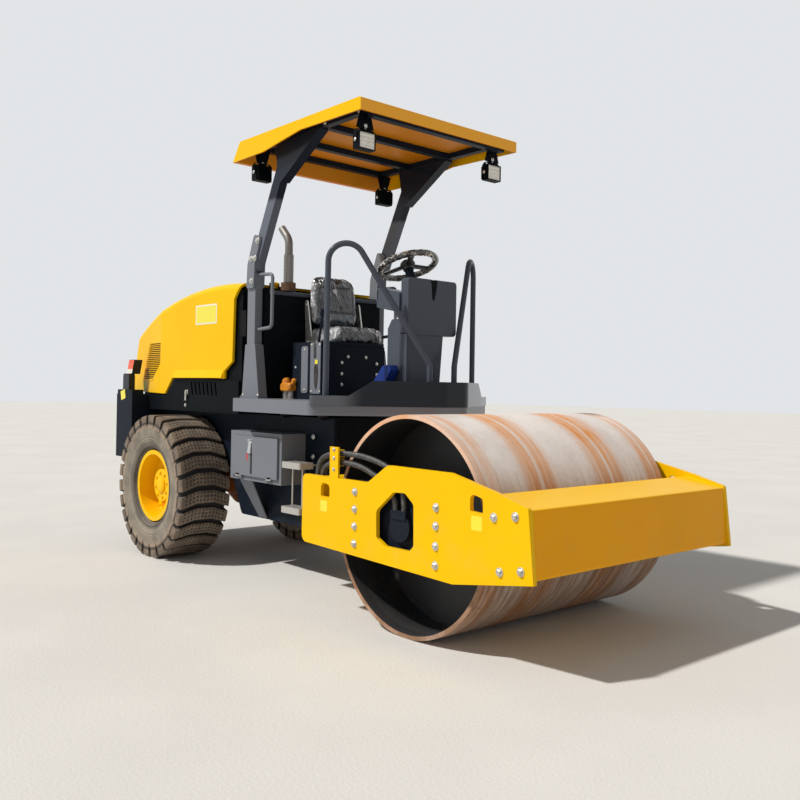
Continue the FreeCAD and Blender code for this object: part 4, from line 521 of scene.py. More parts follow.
def cover_rings():
    """Rings across the tyre: the case's outline drawn out to the bar's by the pitch, and turned by the sweep.

    The sweep is full forward inside the bend and falls in a line to full backward at the shoulder."""
    case, bar = (np.concatenate([half, [(crown, 0.0)], half[::-1] * (1, -1)])
        for half, crown in ((HALF_COVER[:, :2], 0.524), (HALF_COVER[:, 2:], TYRE_R)))
    edge = np.clip((np.abs(bar[:, 1]) - BEND) / (BAR_HALF - BEND), 0, 1)
    edge[bar[:, 0] < 0.52] = 1.0
    step, lift = (np.tile(column, BAR_COUNT)[:, None] for column in BAR_STEPS.T)
    pitch = np.repeat(np.arange(BAR_COUNT), len(BAR_STEPS))[:, None] + step
    angle = pitch * BAR_PITCH - math.pi / 2 + SWEEP * (1 - 2 * edge) / TYRE_R
    outline = case + lift[..., None] * (bar - case)
    points = np.stack([outline[..., 0] * np.cos(angle), outline[..., 1], outline[..., 0] * np.sin(angle)],
        axis=-1)
    along = step * BAR_PITCH * TYRE_R + 0 * angle
    return points, np.stack([along, points[..., 1], (bar[:, 0] > 0.5) * lift], axis=-1)


cover, cover_marks = cover_rings()
for side, sign in SIDES:
    tyre = Piece().skin(cover * (1, sign, 1) + (WHEEL_X, sign * TRACK_HALF, WHEEL_Z), endless=True)
    made = tyre.show(f"tyre_cover_{side}", tyre_rubber, f"wheel_{side}", crease=30.0)
    made.data.attributes.new("tread", "FLOAT_VECTOR", "POINT").data.foreach_set("vector", cover_marks.ravel())
    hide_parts(f"tyre_{side}")


# Dark enamel: chassis, yoke, engine bay, supports, cowl and the tubes under the roof.
# The same hard satin paint everywhere, dusty low down, and duller on the castings.
NAVY = (0.010, 0.015, 0.025)
navy = enamel("navy_enamel", "dark_paint", NAVY, (0.12, 0.11, 0.10), 0.42, 0.25, coat=0.02, shine=0.05)
navy.put_on("drum_supports", "drum_hubs", "scrapers", "yoke", "chassis", "canopy_frame", "seat_base",
    "steering_column", "radiator", "counterweight", "lever_box", "steer_barrel_right", "steer_barrel_left")
black = enamel("black_enamel", "dark_paint", (0.005, 0.007, 0.009), (0.10, 0.09, 0.08), 0.50, 0.12, coat=0.01,
    shine=0.04)
black.put_on("engine_cowl", "engine_deck", "work_lamps", "engine_block")
enamel("red_primer", "axle_paint", (0.42, 0.12, 0.03), (0.25, 0.20, 0.15), 0.55, 0.5).put_on("rear_axle")
rubber = Finish("rubber_moulding", "rubber")
rubber.mottled(24.0, (0.018, 0.018, 0.018), (0.055, 0.050, 0.044), (0.35, 0.75), 4.0, Roughness=0.75,
    Normal=rubber.bump(rubber.noise(160.0), 0.0006))
rubber.put_on("drum_buffers", "platform_mounts")
chrome = Finish("chromed_rod", "bright_steel")
chrome.mottled(40.0, (0.74, 0.75, 0.76), (0.66, 0.67, 0.68), (0.4, 0.6), Metallic=1.0,
    Roughness=chrome.noise(50.0) * 0.10 + 0.10)
chrome.put_on("steer_rod_right", "steer_rod_left")
worn_steel = Finish("worn_steel", "bright_steel")
wear = worn_steel.noise(32.0, 6.0, 0.7)
worn_steel.set(Base_Color=worn_steel.mix(wear.step(0.4, 0.7), (0.34, 0.33, 0.32), (0.20, 0.15, 0.11)),
    Metallic=0.7, Roughness=wear * 0.4 + 0.25)
worn_steel.put_on("hitch_pin")


# Drum hoses: two hydraulic hoses in ribbed spiral guards, clamped to the post on the right plate.
# Each climbs through its clamp, arches forward and drops into the port block of the drum's motor.
hose_guard = Finish("hose_guard", "hose").mottled(45.0, (0.026, 0.025, 0.026), (0.10, 0.093, 0.085),
    (0.4, 0.75), 4.0, Roughness=0.48, Coat_Weight=0.15)
HOSE_RADIUS, HOSE_Y, RIB_PITCH = 0.017, -0.8345, 0.0085
# forward, up from the floor
HOSE_ROUTES = (
    ((0.768, 0.8003), (0.768, 0.905), (0.910, 0.957), (1.190, 0.962), (1.460, 0.905), (1.550, 0.790),
        (1.550, 0.6883)),
    ((0.818, 0.8003), (0.818, 0.868), (0.930, 0.905), (1.140, 0.908), (1.330, 0.850), (1.480, 0.770),
        (1.480, 0.6883)))


def read_points(mesh):
    found = np.empty(len(mesh.vertices) * 3)
    mesh.vertices.foreach_get("co", found)
    return found.reshape(-1, 3)


def spline_points(route, steps=24):
    """Points along the smooth NURBS curve whose control points are the route's."""
    curve = bpy.data.curves.new("route", "CURVE")
    curve.dimensions = "3D"
    curve.resolution_u = steps
    spline = curve.splines.new("NURBS")
    spline.points.add(len(route) - 1)
    spline.points.foreach_set("co", np.array([(*point, 1.0) for point in route]).ravel())
    spline.order_u = 3
    spline.use_endpoint_u = True
    holder = bpy.data.objects.new("route", curve)
    mesh = bpy.data.meshes.new_from_object(holder)
    found = read_points(mesh)
    bpy.data.objects.remove(holder)
    bpy.data.curves.remove(curve)
    bpy.data.meshes.remove(mesh)
    return found


def evenly(path, spacing):
    """The same line with its points an even distance apart."""
    gone = np.concatenate([[0], np.cumsum(np.linalg.norm(np.diff(path, axis=0), axis=1))])
    place = np.linspace(0, gone[-1], max(3, int(round(gone[-1] / spacing)) + 1))
    return np.stack([np.interp(place, gone, path[:, k]) for k in range(3)], axis=-1)


def carried(path, section, side):
    """Rings of a section carried along a path: its first number goes across, its second along side."""
    path, section = np.asarray(path, dtype=float), np.asarray(section, dtype=float)
    tangent = unit(np.gradient(path, axis=0))
    across = unit(np.cross(side, tangent))
    upward = np.cross(tangent, across)
    return path[:, None] + section[..., :1] * across[:, None] + section[..., 1:] * upward[:, None]


for number, route in enumerate(HOSE_ROUTES):
    line = evenly(spline_points([(ahead, HOSE_Y, up_by) for ahead, up_by in route]), RIB_PITCH / 4)
    quarter = np.arange(len(line)) % 4
    rib = 1 - 0.10 * (quarter == 0) - 0.05 * (quarter % 2)
    hose = Piece().skin(carried(line, circle(HOSE_RADIUS) * rib[:, None, None], LEFT))
    made = hose.show(f"drum_hose_{number + 1}", hose_guard, "front_frame", crease=60.0)
    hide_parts("drum_hoses")
clamp_bolts = Piece()
for up_by in (0.982, 0.932, 0.868):
    clamp_bolts.bolt((0.980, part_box("hose_post")[0][1], up_by), (0, -1, 0), 0.014, 0.008)
clamp_bolts.show("hose_clamp_bolts", zinc, "front_frame")


# Tail grilles: a mesh behind the bars in each slanting flank of the hood, coloured brown with dark gaps as
# painted shade, and a pressed lip below.
# One blank yellow-green sticker lies under the lip.
grille_mesh_shade = Finish("grille_mesh_shade", "yellow_paint")
weave = grille_mesh_shade.weave("X", "Z", 700.0)
thread = grille_mesh_shade.mix(weave.step(-0.2, 0.3), (0.020, 0.010, 0.003), (0.17, 0.085, 0.012))
grille_mesh_shade.set(Base_Color=thread, Roughness=0.5, Normal=grille_mesh_shade.bump(weave, 0.001))
sticker_green = Finish("label_green", "yellow_paint").mottled(40.0, (0.62, 0.72, 0.01), (0.52, 0.62, 0.01),
    Roughness=0.5, Coat_Weight=0.1)
FOLD_X, FLANK_LEAN = -1.770, 0.080 / 0.710
# forward and up from the floor: the outline of the bars, a little enlarged
GRILLE = np.array([(-1.945, 1.380), (-1.785, 1.508), (-1.785, 1.700), (-2.040, 1.700), (-2.205, 1.380)])


def on_flank(sign, ahead, up_by, half=HOOD_HALF):
    """The point of a hood flank so far forward and so high: it slants inward behind the fold."""
    return np.array((ahead, sign * (half + min(ahead - FOLD_X, 0.0) * FLANK_LEAN), up_by))


for side, sign in SIDES:
    along, out = unit((1, sign * FLANK_LEAN, 0)), unit((-FLANK_LEAN, sign, 0))
    middle = GRILLE.mean(axis=0)
    mesh_at = on_flank(sign, *middle) - out * 0.026
    panel = Piece().skin(slab((GRILLE - middle) * (1, -sign), mesh_at, along, out, 0.004, 0.001))
    panel.show(f"grille_mesh_{side}", grille_mesh_shade, "hood")
    lip_line = [on_flank(sign, ahead, 1.379) for ahead in (-2.205, -2.12, -2.03, -1.945)]
    lip = Piece().skin(carried(lip_line, rounded(0.014, 0.009, 0.003), out))
    lip.show(f"grille_lip_{side}", yellow, "hood")
    sticker = Piece().plate((0.056, 0.066, 0.003), on_flank(sign, -2.150, 1.322), out, 0.0008, 0.0002, along)
    sticker.show(f"grille_sticker_{side}", sticker_green, "hood")


# Deck baffles: a thin black plate inside each wall of the deck closes the slit below the hood's tail.
# Folded sheet standing on the deck's floor, clear of the hood by 10 mm.
baffles = Piece()
BAFFLE_HALF, DECK_TAIL = 0.590, float(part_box("engine_deck")[0][0])
# how far forward its points lie, the height of its middle, its own height
BAFFLES = (((DECK_TAIL + 0.004, FOLD_X, -1.640), 1.222, 0.144), ((-2.230, -2.012), 1.270, 0.048))
for sign in (-1, 1):
    for points_x, level, high in BAFFLES:
        line = [on_flank(sign, ahead, level, BAFFLE_HALF) for ahead in points_x]
        baffles.skin(carried(line, rounded(high, 0.003, 0.001, 3), (0, sign, 0)))
baffles.show("deck_baffles", black)


# Grey enamel: platform, rails, posts, console and side lockers, in a blue-grey gloss coat.
# The skirt round the nose is darker and has been wiped to a mirror.
SKIRT_DARK = (0.008, 0.010, 0.016)
slate = enamel("slate_enamel", "grey_paint", (0.074, 0.087, 0.114), (0.30, 0.28, 0.25), 0.26, 0.30)
slate.put_on("handrail_right", "handrail_left", "console", "instrument_box")
pale_slate = enamel("pale_slate_enamel", "grey_paint", (0.190, 0.206, 0.238), (0.36, 0.33, 0.29), 0.30, 0.30)
pale_slate.put_on("platform", "lockers", "locker_door_right", "locker_door_left", "rops_lower_right",
    "rops_lower_left")
mirror_slate = enamel("skirt_enamel", "grey_paint", SKIRT_DARK, (0.20, 0.18, 0.16), 0.16, 0.06, coat=0.4,
    haze=0.02, shine=0.06)
wiped = mirror_slate.axis("X").step(0.70, 0.80)
mirror_slate.set(Base_Color=mirror_slate.mix(wiped, (0.120, 0.128, 0.150), SKIRT_DARK))
mirror_slate.put_on("platform_skirt")
# the same grey on the sloping posts; their tops and the gussets under the roof take the dark coat, which is
# painted shade of the roof
post_grey_and_shade = Finish("post_enamel")
post_grey_and_shade.set(Base_Color=post_grey_and_shade.mix(post_grey_and_shade.axis("Z").step(2.62, 2.66), (0.125, 0.140, 0.175), NAVY),
    Roughness=0.30, Specular_IOR_Level=0.15, Coat_Weight=0.1,
    Normal=post_grey_and_shade.bump(post_grey_and_shade.noise(420.0, 2.0), 0.0002))
post_grey_and_shade.put_on("rops_upper_right", "rops_upper_left")


# Roof: one pressed panel in yellow over the dark tube frame, with painted shade: a duller orange below and a
# deeper orange on its forward lip.
# The frame's front flange shows as a dark line below the roof's lip.
roof_paint = Finish("roof_enamel")
# Painted shade: faces that look down, and the lip's faces that look forward, take deeper oranges.
below = roof_paint.facing("Z").step(-0.15, -0.5)
lip = roof_paint.facing("X").step(0.55, 0.85)
top_tone_and_lip_shade = roof_paint.mix(roof_paint.noise(2.0), YELLOW, [part * 0.94 for part in YELLOW])
top_tone_and_lip_shade = roof_paint.mix(lip, top_tone_and_lip_shade, (0.98, 0.46, 0.045))
roof_underside_shade = roof_paint.mix(roof_paint.noise(4.0, 4.0), (0.66, 0.235, 0.002), (0.58, 0.20, 0.002))
roof_paint.set(Base_Color=roof_paint.mix(below, top_tone_and_lip_shade, roof_underside_shade), Roughness=below * 0.2 + 0.30,
    Specular_IOR_Level=0.10, Coat_Weight=0.06, Normal=roof_paint.bump(roof_paint.noise(420.0, 2.0), 0.0002))
roof_paint.put_on("canopy_roof")
flange = Piece().plate((0.050, 1.180, 0.004), (0.903, 0, 2.988), UP, 0.043, 0.002)
flange.show("canopy_front_flange", navy)


# Work lamps: four cast lamp boxes under the roof, each in a bent strap below a tapered hanger plate.
# A clear pane covers a tray of small mirror cups, and fins cool its back.
def cup_pane(centre, right, out, size):
    """Rings of a pane with a flat back: each runs over the face and back behind it.

    The face is round cups in rows, each highest at its middle and meeting the next in a low ridge."""
    right, out = unit(right), unit(out)
    a, b = np.meshgrid(np.linspace(-0.5, 0.5, 37), np.linspace(-0.5, 0.5, 25), indexing="ij")
    back = centre + (a * size[0])[..., None] * right + (b * size[1])[..., None] * np.cross(out, right)
    cups = np.abs(np.sin(math.pi * 6 * (a + 0.5))) * np.abs(np.sin(math.pi * 4 * (b + 0.5)))
    front = back + (0.003 + 0.004 * cups)[..., None] * out
    return np.concatenate([front, back[:, ::-1]], axis=1)


lamp_pane = Finish("lamp_pane", "lamp_black").mottled(140.0, (0.90, 0.88, 0.80), (0.62, 0.60, 0.54),
    (0.4, 0.7), 2.0, Roughness=0.12, Coat_Weight=1.0)
LAMP_SIDE, LAMP_HEIGHT = 0.570, 2.857
# up and across from the pane's middle, width, height
BEZEL = ((0.0518, 0, 0.130, 0.0065), (-0.0518, 0, 0.130, 0.0065), (0, 0.0622, 0.0055, 0.110),
    (0, -0.0622, 0.0055, 0.110))
HALF_STRAP = ((-0.070, -0.012), (-0.070, 0.050), (-0.064, 0.066), (-0.050, 0.072))
STRAP = HALF_STRAP + ((0, 0.073),) + tuple((-y, z) for y, z in HALF_STRAP[::-1])
HANGER = ((-0.038, -0.055), (0.038, -0.055), (0.044, -0.04), (0.070, 0.05), (-0.070, 0.05), (-0.044, -0.04))
panes, lamp_frames, lamp_bolts = Piece(), Piece(), Piece()
for face, out_x in ((0.849, 1), (-0.362, -1)):
    for sign in (-1, 1):
        middle = np.array((face, sign * LAMP_SIDE, LAMP_HEIGHT))
        out = np.array((out_x, 0, 0))
        panes.skin(cup_pane(middle, LEFT, out, (0.119, 0.097)))
        for up_by, across_by, wide, high in BEZEL:
            lamp_frames.plate((wide, high, 0.003), middle + (0, across_by, up_by), out, 0.009, 0.002, LEFT)
        for fin in np.linspace(-0.054, 0.054, 10):
            lamp_frames.plate((0.018, 0.088, 0.002), middle + (-out_x * 0.058, fin - 0.0015, 0), LEFT, 0.003,
                0.0008)
        strap = [middle - out * 0.025 + (0, y, z) for y, z in STRAP]
        lamp_frames.skin(carried(strap, rounded(0.003, 0.026, 0.001, 3), AHEAD))
        lamp_frames.skin(slab(HANGER, middle + (-out_x * 0.017, 0, 0.127), LEFT, -out, 0.006, 0.001))
        lamp_bolts.bolt(middle + (-out_x * 0.013, 0, 0.096), out, 0.016, 0.008)
        lamp_bolts.bolt(middle + (-out_x * 0.025, 0, 0.0745), UP, 0.016, 0.008)
        for end in (-1, 1):
            lamp_bolts.bolt(middle + (-out_x * 0.025, end * 0.0715, 0), (0, end, 0), 0.014, 0.006)
panes.show("lamp_panes", lamp_pane)
lamp_frames.show("lamp_frames", black, "root", "lamp_black")
lamp_bolts.show("lamp_bolts", zinc)


# Roof and post fasteners: bolts through the roof frame, the folding joint of the posts and their feet.
# Zinc-plated, like all of the machine's bolts.
post_bolts = Piece()
# out to the side, width, height, then forward and up for each bolt
SIDE_BOLTS = ((0.595, 0.020, 0.010, ((-0.10, 3.050), (0.03, 3.050), (0.45, 3.050), (0.80, 3.050))),
    (0.615, 0.026, 0.014, ((-0.310, 2.370), (-0.390, 2.250), (-0.340, 2.250), (-0.380, 2.090))))
for sign in (-1, 1):
    for out_by, wide, high, places in SIDE_BOLTS:
        for ahead, up_by in places:
            post_bolts.bolt((ahead, sign * out_by, up_by), (0, sign, 0), wide, high)
    for ahead in (-0.490, -0.290):
        for out_by in (0.540, 0.600):
            post_bolts.bolt((ahead, sign * out_by, 1.270), UP, 0.022, 0.014)
post_bolts.show("post_bolts", zinc)


# Welds and feet: rippled fillet beads where the front beam meets the side plates, under the same paint,
# and a bolted foot plate below each leg of the handrails.
def bead(path, radius=0.0045):
    """Rings of a weld bead: a thin tube along the path whose radius ripples once every 5 mm."""
    line = evenly(np.asarray(path, dtype=float), 0.0016)
    ripple = 1 + 0.14 * np.sin(np.arange(len(line)) * 2 * math.pi / 3)
    return carried(line, circle(radius, 8) * ripple[:, None, None], LEFT)


BEAM_EDGE = ((2.190, 0.8393), (2.431, 0.7962), (2.4395, 0.7925), (2.4437, 0.7835), (2.4630, 0.4850))
FLOOR_TOP = float(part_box("platform")[1][2])
welds, feet, foot_bolts = Piece(), Piece(), Piece()
for sign in (-1, 1):
    welds.skin(bead([(ahead, sign * 0.851, up_by) for ahead, up_by in BEAM_EDGE]))
    for foot_x, foot_y in ((0.584, sign * 0.657), (0.956, sign * 0.107)):
        feet.plate((0.050, 0.092, 0.008), (foot_x, foot_y, FLOOR_TOP), UP, 0.008, 0.0015)
        for beside in (-0.033, 0.033):
            foot_bolts.bolt((foot_x, foot_y + beside, FLOOR_TOP + 0.008), UP, 0.014, 0.008)
welds.show("beam_welds", yellow, "front_frame", crease=60.0)
feet.show("handrail_feet", slate)
foot_bolts.show("handrail_foot_bolts", zinc)


# Seat: vinyl cushion and back, still in the clear wrapping film of a new machine.
# Each is a stuffed cover, swelled by a cloth simulation, then sewn down along its channels.
seat_cover = Finish("seat_cover", "seat_cover")
long_fold = (seat_cover.noise(7.0, 2.0, 0.5, (1.0, 1.9, 0.55)) - 0.5).size()
short_fold = (seat_cover.noise(15.0, 2.0, 0.5, (1.0, 1.0, 0.8)) - 0.5).size()
sharp = long_fold.step(0.024, 0.004).largest(short_fold.step(0.016, 0.003) * 0.45)
soft = long_fold.step(0.12, 0.0) + short_fold.step(0.10, 0.0) * 0.5
flank = seat_cover.axis("Y").size().step(0.165, 0.205)
glint = sharp * seat_cover.noise(4.5).step(0.42, 0.58) * 0.85 + flank * (soft * 0.5 + 0.28)
lower = seat_cover.axis("Z").step(1.885, 1.880) * seat_cover.axis("Z").step(1.782, 1.787)
vinyl = seat_cover.mix(lower * (1 - flank), (0.034, 0.037, 0.044), (0.085, 0.112, 0.140))
seat_cover.set(Base_Color=seat_cover.mix(glint.smallest(0.9), vinyl, (0.80, 0.81, 0.84)), Roughness=0.24,
    Coat_Weight=1.0, Coat_Roughness=0.06, Normal=seat_cover.bump(soft, 0.010))


def block_rings(low, high, radius, edge):
    """Rings of an upright block with round corners in plan and a rounded rim, drawn in at both ends."""
    size, middle = high - low, (high + low) / 2
    rings = []
    for inset, level in ((edge, low[2]), (edge * 0.3, low[2] + edge * 0.3), (0, low[2] + edge),
            (0, high[2] - edge), (edge * 0.3, high[2] - edge * 0.3), (edge, high[2])):
        flat = rounded(size[0] - 2 * inset, size[1] - 2 * inset, max(radius - inset, 0.004), 6)
        rings.append(np.concatenate([flat + middle[:2], np.full((len(flat), 1), level)], axis=1))
    return rings


def solved(made):
    """The object's mesh with its modifiers worked in, and the modifiers taken off."""
    graph = bpy.context.evaluated_depsgraph_get()
    mesh = bpy.data.meshes.new_from_object(made.evaluated_get(graph))
    made.modifiers.clear()
    return mesh


def stuffed(made, cap, voxel=0.007):
    """Swells a closed shape like a filled cover: even mesh, cloth under pressure, capped, refined."""
    scene = bpy.context.scene
    even = made.modifiers.new("even", "REMESH")
    even.mode = "VOXEL"
    even.voxel_size = voxel
    made.data = solved(made)
    before = after = read_points(made.data)
    cloth = made.modifiers.new("swell", "CLOTH")
    cloth.settings.use_pressure = True
    cloth.settings.uniform_pressure_force = 4.0
    cloth.settings.effector_weights.gravity = 0.0
    for moment in range(1, 21):
        scene.frame_set(moment)
    after = read_points(solved(made))
    scene.frame_set(1)
    moved = after - before
    reach = np.linalg.norm(moved, axis=1, keepdims=True)
    swelled = before + moved * np.minimum(1, cap / np.maximum(reach, 1e-9))
    made.data.vertices.foreach_set("co", swelled.ravel())
    made.modifiers.new("fine", "SUBSURF").levels = 1
    made.modifiers["fine"].render_levels = 1
    made.data = solved(made)
    return made


def creases(points):
    """Film folds: sharp low ridges where slow waves, bent by each other, cross zero."""
    x, y, z = points.T * 17
    bend = np.sin(1.3 * y + 0.7 * z) + 0.6 * np.sin(2.1 * x - 1.1 * z)
    first = np.abs(np.sin(1.7 * z + 1.1 * y + 1.4 * bend))
    second = np.abs(np.sin(2.9 * y - 1.9 * x + 1.1 * z + 0.9 * bend))
    return np.exp(-(first / 0.22) ** 2) + 0.7 * np.exp(-(second / 0.2) ** 2)


def groove(away):
    return np.exp(-(away / 0.007) ** 2)


def sew(made, face, along, seams):
    """Draws the cover in by 9 mm along its channels, where face is 1, and lets the film stand up in folds.

    One seam runs down each side, and one across at each of seams, measured as along is."""
    mesh = made.data
    points = read_points(mesh)
    normals = np.empty(len(mesh.vertices) * 3)
    mesh.vertices.foreach_get("normal", normals)
    off_middle = np.abs(points[:, 1])
    across = sum(groove(along - at) for at in seams) * (off_middle < 0.150)
    depth = 0.009 * np.clip(face, 0, 1) * np.maximum(groove(off_middle - 0.150), across)
    move = 0.0028 * creases(points) - depth
    mesh.vertices.foreach_set("co", (points + normals.reshape(-1, 3) * move[:, None]).ravel())
    mesh.shade_smooth()


cushion_low, cushion_high = corners_of("seat_cushion")
cushion = Piece().skin(block_rings(cushion_low + (0.014, 0.012, 0.004), cushion_high - (0.012, 0.012, 0.016),
    0.045, 0.022))
cushion = stuffed(cushion.show("seat_cushion_cover", seat_cover), 0.020)
above_foot = read_points(cushion.data) - cushion_low
sew(cushion, (above_foot[:, 2] - 0.05) / 0.02, above_foot[:, 0], (0.13, 0.21, 0.29))
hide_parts("seat_cushion")

back_low, back_high = corners_of("seat_back")
BACK_THICK, BACK_TALL, BACK_LEAN = 0.080, 0.400, math.radians(5.0)
back_foot = np.array((back_high[0], 0.0, back_low[2] + BACK_THICK * math.sin(BACK_LEAN)))
back_up = np.array((-math.sin(BACK_LEAN), 0, math.cos(BACK_LEAN)))
back_out = np.array((math.cos(BACK_LEAN), 0, math.sin(BACK_LEAN)))


def back_rings():
    """Rings through the back's thickness: its outline narrows upward, and both rims are drawn in."""
    turn = np.linspace(0, 2 * math.pi, 60, endpoint=False)
    wide, tall = (np.sign(wave) * np.abs(wave) ** 0.45 for wave in (np.cos(turn), np.sin(turn)))
    rings = []
    for inset, depth in ((0.030, 0.012), (0.010, 0.018), (0, 0.034), (0, 0.048), (0.010, 0.062),
            (0.028, 0.068)):
        half_wide = 0.228 - 0.010 * (tall + 1) - inset
        half_tall = BACK_TALL / 2 - 0.001 - inset
        middle = back_foot + back_up * BACK_TALL / 2 - back_out * depth
        rings.append(middle + (wide * half_wide)[:, None] * LEFT + (tall * half_tall)[:, None] * back_up)
    return rings


back = Piece().skin(back_rings())
back = stuffed(back.show("seat_back_cover", seat_cover), 0.018)
off_foot = read_points(back.data) - back_foot
sew(back, (off_foot @ back_out + 0.035) / 0.02, off_foot @ back_up, (0.115, 0.30))
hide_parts("seat_back")

zinc.put_on("seat_brackets")
seat_bolts = Piece()
BASE_FRONT = float(cushion_high[0]) - 0.035
for across_by, up_by in ((-0.160, 1.516), (-0.160, 1.438), (-0.160, 1.361), (-0.105, 1.560), (0.160, 1.516),
        (0.160, 1.438), (0.160, 1.361), (0.057, 1.560)):
    seat_bolts.bolt((BASE_FRONT, across_by, up_by), AHEAD, 0.014, 0.007)
for sign in (-1, 1):
    for ahead, up_by in ((-0.205, 1.665), (-0.095, 1.658), (-0.225, 1.940)):
        seat_bolts.bolt((ahead, sign * 0.244, up_by), (0, sign, 0), 0.018, 0.008)
seat_bolts.show("seat_bolts", zinc)


# Lever box trim: a pale cover strip and a gate plate with its slot on the driver's right, and a blank tag.
# Pressed steel plates screwed to the side of the box, the slot lined in black rubber.
TRIM_Y, TO_RIGHT = float(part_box("lever_box")[0][1]), (0, -1, 0)
strip = Piece().plate((0.078, 0.325, 0.020), (0.030, TRIM_Y, 1.460), TO_RIGHT, 0.006, 0.0015)
strip.plate((0.118, 0.350, 0.010), (0.155, TRIM_Y, 1.470), TO_RIGHT, 0.004, 0.001)
strip.show("lever_trim", pale_slate)
turn = np.arange(40) * math.pi / 20
teardrop = np.stack([0.022 * np.cos(turn) * (1.0 + 0.25 * np.sin(turn)), 0.090 * np.sin(turn)], axis=-1)
gate = Piece().skin(slab(teardrop, (0.165, TRIM_Y - 0.004, 1.415), AHEAD, TO_RIGHT, 0.003, 0.001))
gate.plate((0.026, 0.100, 0.006), (0.150, TRIM_Y - 0.004, 1.590), TO_RIGHT, 0.003, 0.001)
gate.show("lever_gate", rubber)
tag = Piece().plate((0.030, 0.028, 0.002), (0.172, TRIM_Y - 0.007, 1.512), TO_RIGHT, 0.0012, 0.0003)
tag.show("lever_tag", vinyl_yellow)
screws = Piece()
# forward, up, standing off the box
for ahead, up_by, off in ((-0.085, 1.478, 0.0), (0.030, 1.600, 0.006), (0.030, 1.320, 0.006),
        (0.110, 1.630, 0.004), (0.205, 1.630, 0.004), (0.110, 1.310, 0.004), (0.205, 1.310, 0.004)):
    screws.bolt((ahead, TRIM_Y - off, up_by), TO_RIGHT, 0.011, 0.005)
screws.show("lever_screws", zinc)


# Small controls: the ribbed blue pedal, the black steering wheel still in its crinkled film, and the
# orange cast valve with two turned caps that stands on pipe stubs on the floor beside the seat.
pedal_blue = Finish("pedal_blue")
ribbed = (pedal_blue.axis("Y") * 520.0).sine().step(-0.2, 0.6)
pedal_blue.mottled(20.0, (0.008, 0.028, 0.190), (0.010, 0.042, 0.270), Roughness=0.38, Specular_IOR_Level=0.2,
    Normal=pedal_blue.bump(ribbed, 0.0015)).put_on("pedal")
wheel_plastic = Finish("wheel_plastic", "wheel_plastic")
wheel_plastic.mottled(30.0, (0.010, 0.010, 0.012), (0.022, 0.022, 0.026), Roughness=0.42,
    Normal=wheel_plastic.bump(wheel_plastic.noise(300.0), 0.0004)).put_on("steering_wheel")
wheel_film = Finish("wheel_film", "wheel_plastic")
crinkle = (wheel_film.noise(16.0, 2.0, 0.6) - 0.5).size()
glint = crinkle.step(0.05, 0.01) * wheel_film.noise(7.0).step(0.38, 0.56) * 0.9
wheel_film.set(Base_Color=wheel_film.mix(glint, (0.020, 0.019, 0.018), (0.62, 0.56, 0.47)), Roughness=0.25,
    Coat_Weight=1.0, Normal=wheel_film.bump(crinkle.step(0.12, 0.0), 0.004))
STEER_LEAN, STEER_RING = math.radians(21.0), 0.191
steer_out = np.array((-math.sin(STEER_LEAN), 0.0, math.cos(STEER_LEAN)))
steer_plane = np.array([(math.cos(STEER_LEAN), 0.0, math.sin(STEER_LEAN)), LEFT])
steer_centre = np.array((0.606, 0.0, 2.170))


def wrapped_ring():
    """Rings of the film on the wheel: a tube bent to a circle, its radius puckered by two slanting waves."""
    turn = np.arange(180)[:, None] * 2 * math.pi / 180
    around = np.arange(20)[None] * 2 * math.pi / 20
    pucker = np.abs(np.sin(11 * turn + 2 * around + 1.5 * np.sin(5 * turn)))
    thick = 0.0160 + 0.0050 * pucker + 0.0025 * np.abs(np.sin(31 * turn - 3 * around))
    ring = (circle(1.0, 180) @ steer_plane)[:, None] * (STEER_RING + thick * np.cos(around))[..., None]
    return steer_centre + ring + steer_out * (thick * np.sin(around))[..., None]


film = Piece().skin(wrapped_ring(), endless=True)
film.show("steering_wheel_film", wheel_film, "steering_wheel", crease=60.0)
hub_cap = Piece().skin(lathe([(-0.006, 0.044), (0.008, 0.052), (0.022, 0.049), (0.034, 0.036), (0.040, 0.016),
    (0.041, 0.003)], steer_centre, steer_out, 40))
for turn in np.radians((90, 210, 330)):
    away = (math.cos(turn), math.sin(turn)) @ steer_plane
    arm = [steer_centre + away * far + steer_out * 0.002 for far in (0.035, 0.09, 0.14, 0.178)]
    hub_cap.skin(carried(arm, rounded(0.040, 0.016, 0.006), steer_out))
hub_cap.show("steering_wheel_hub", wheel_plastic, "steering_wheel")

orange = Finish("orange_casting", "yellow_paint").mottled(30.0, (0.75, 0.27, 0.010), (0.55, 0.18, 0.010),
    (0.4, 0.7), 4.0, Roughness=0.45, Coat_Weight=0.3)
VALVE_X, VALVE_Y, VALVE_Z = -0.140, -0.440, FLOOR_TOP + 0.108
valve = Piece().plate((0.125, 0.060, 0.022), (VALVE_X, VALVE_Y + 0.04, FLOOR_TOP + 0.083), TO_RIGHT, 0.080,
    0.010)
valve.skin(lathe([(0, 0.030), (0.010, 0.032), (0.032, 0.026), (0.040, 0.014), (0.041, 0.004)],
    (VALVE_X - 0.030, VALVE_Y, VALVE_Z), (-0.2, -0.1, 1)))
valve.skin(lathe([(0, 0.018), (0.030, 0.018), (0.036, 0.010)], (VALVE_X + 0.050, VALVE_Y, VALVE_Z),
    (0.5, 0, 1)))
valve.show("floor_valve_cap", orange)
valve_body = Piece().skin(lathe([(0, 0.034), (0.006, 0.034), (0.008, 0.024), (0.056, 0.024)],
    (VALVE_X + 0.025, VALVE_Y, FLOOR_TOP), UP))
valve_body.skin(lathe([(0, 0.026), (0.056, 0.026)], (VALVE_X - 0.030, VALVE_Y, FLOOR_TOP), UP))
valve_body.show("floor_valve_body", worn_steel)


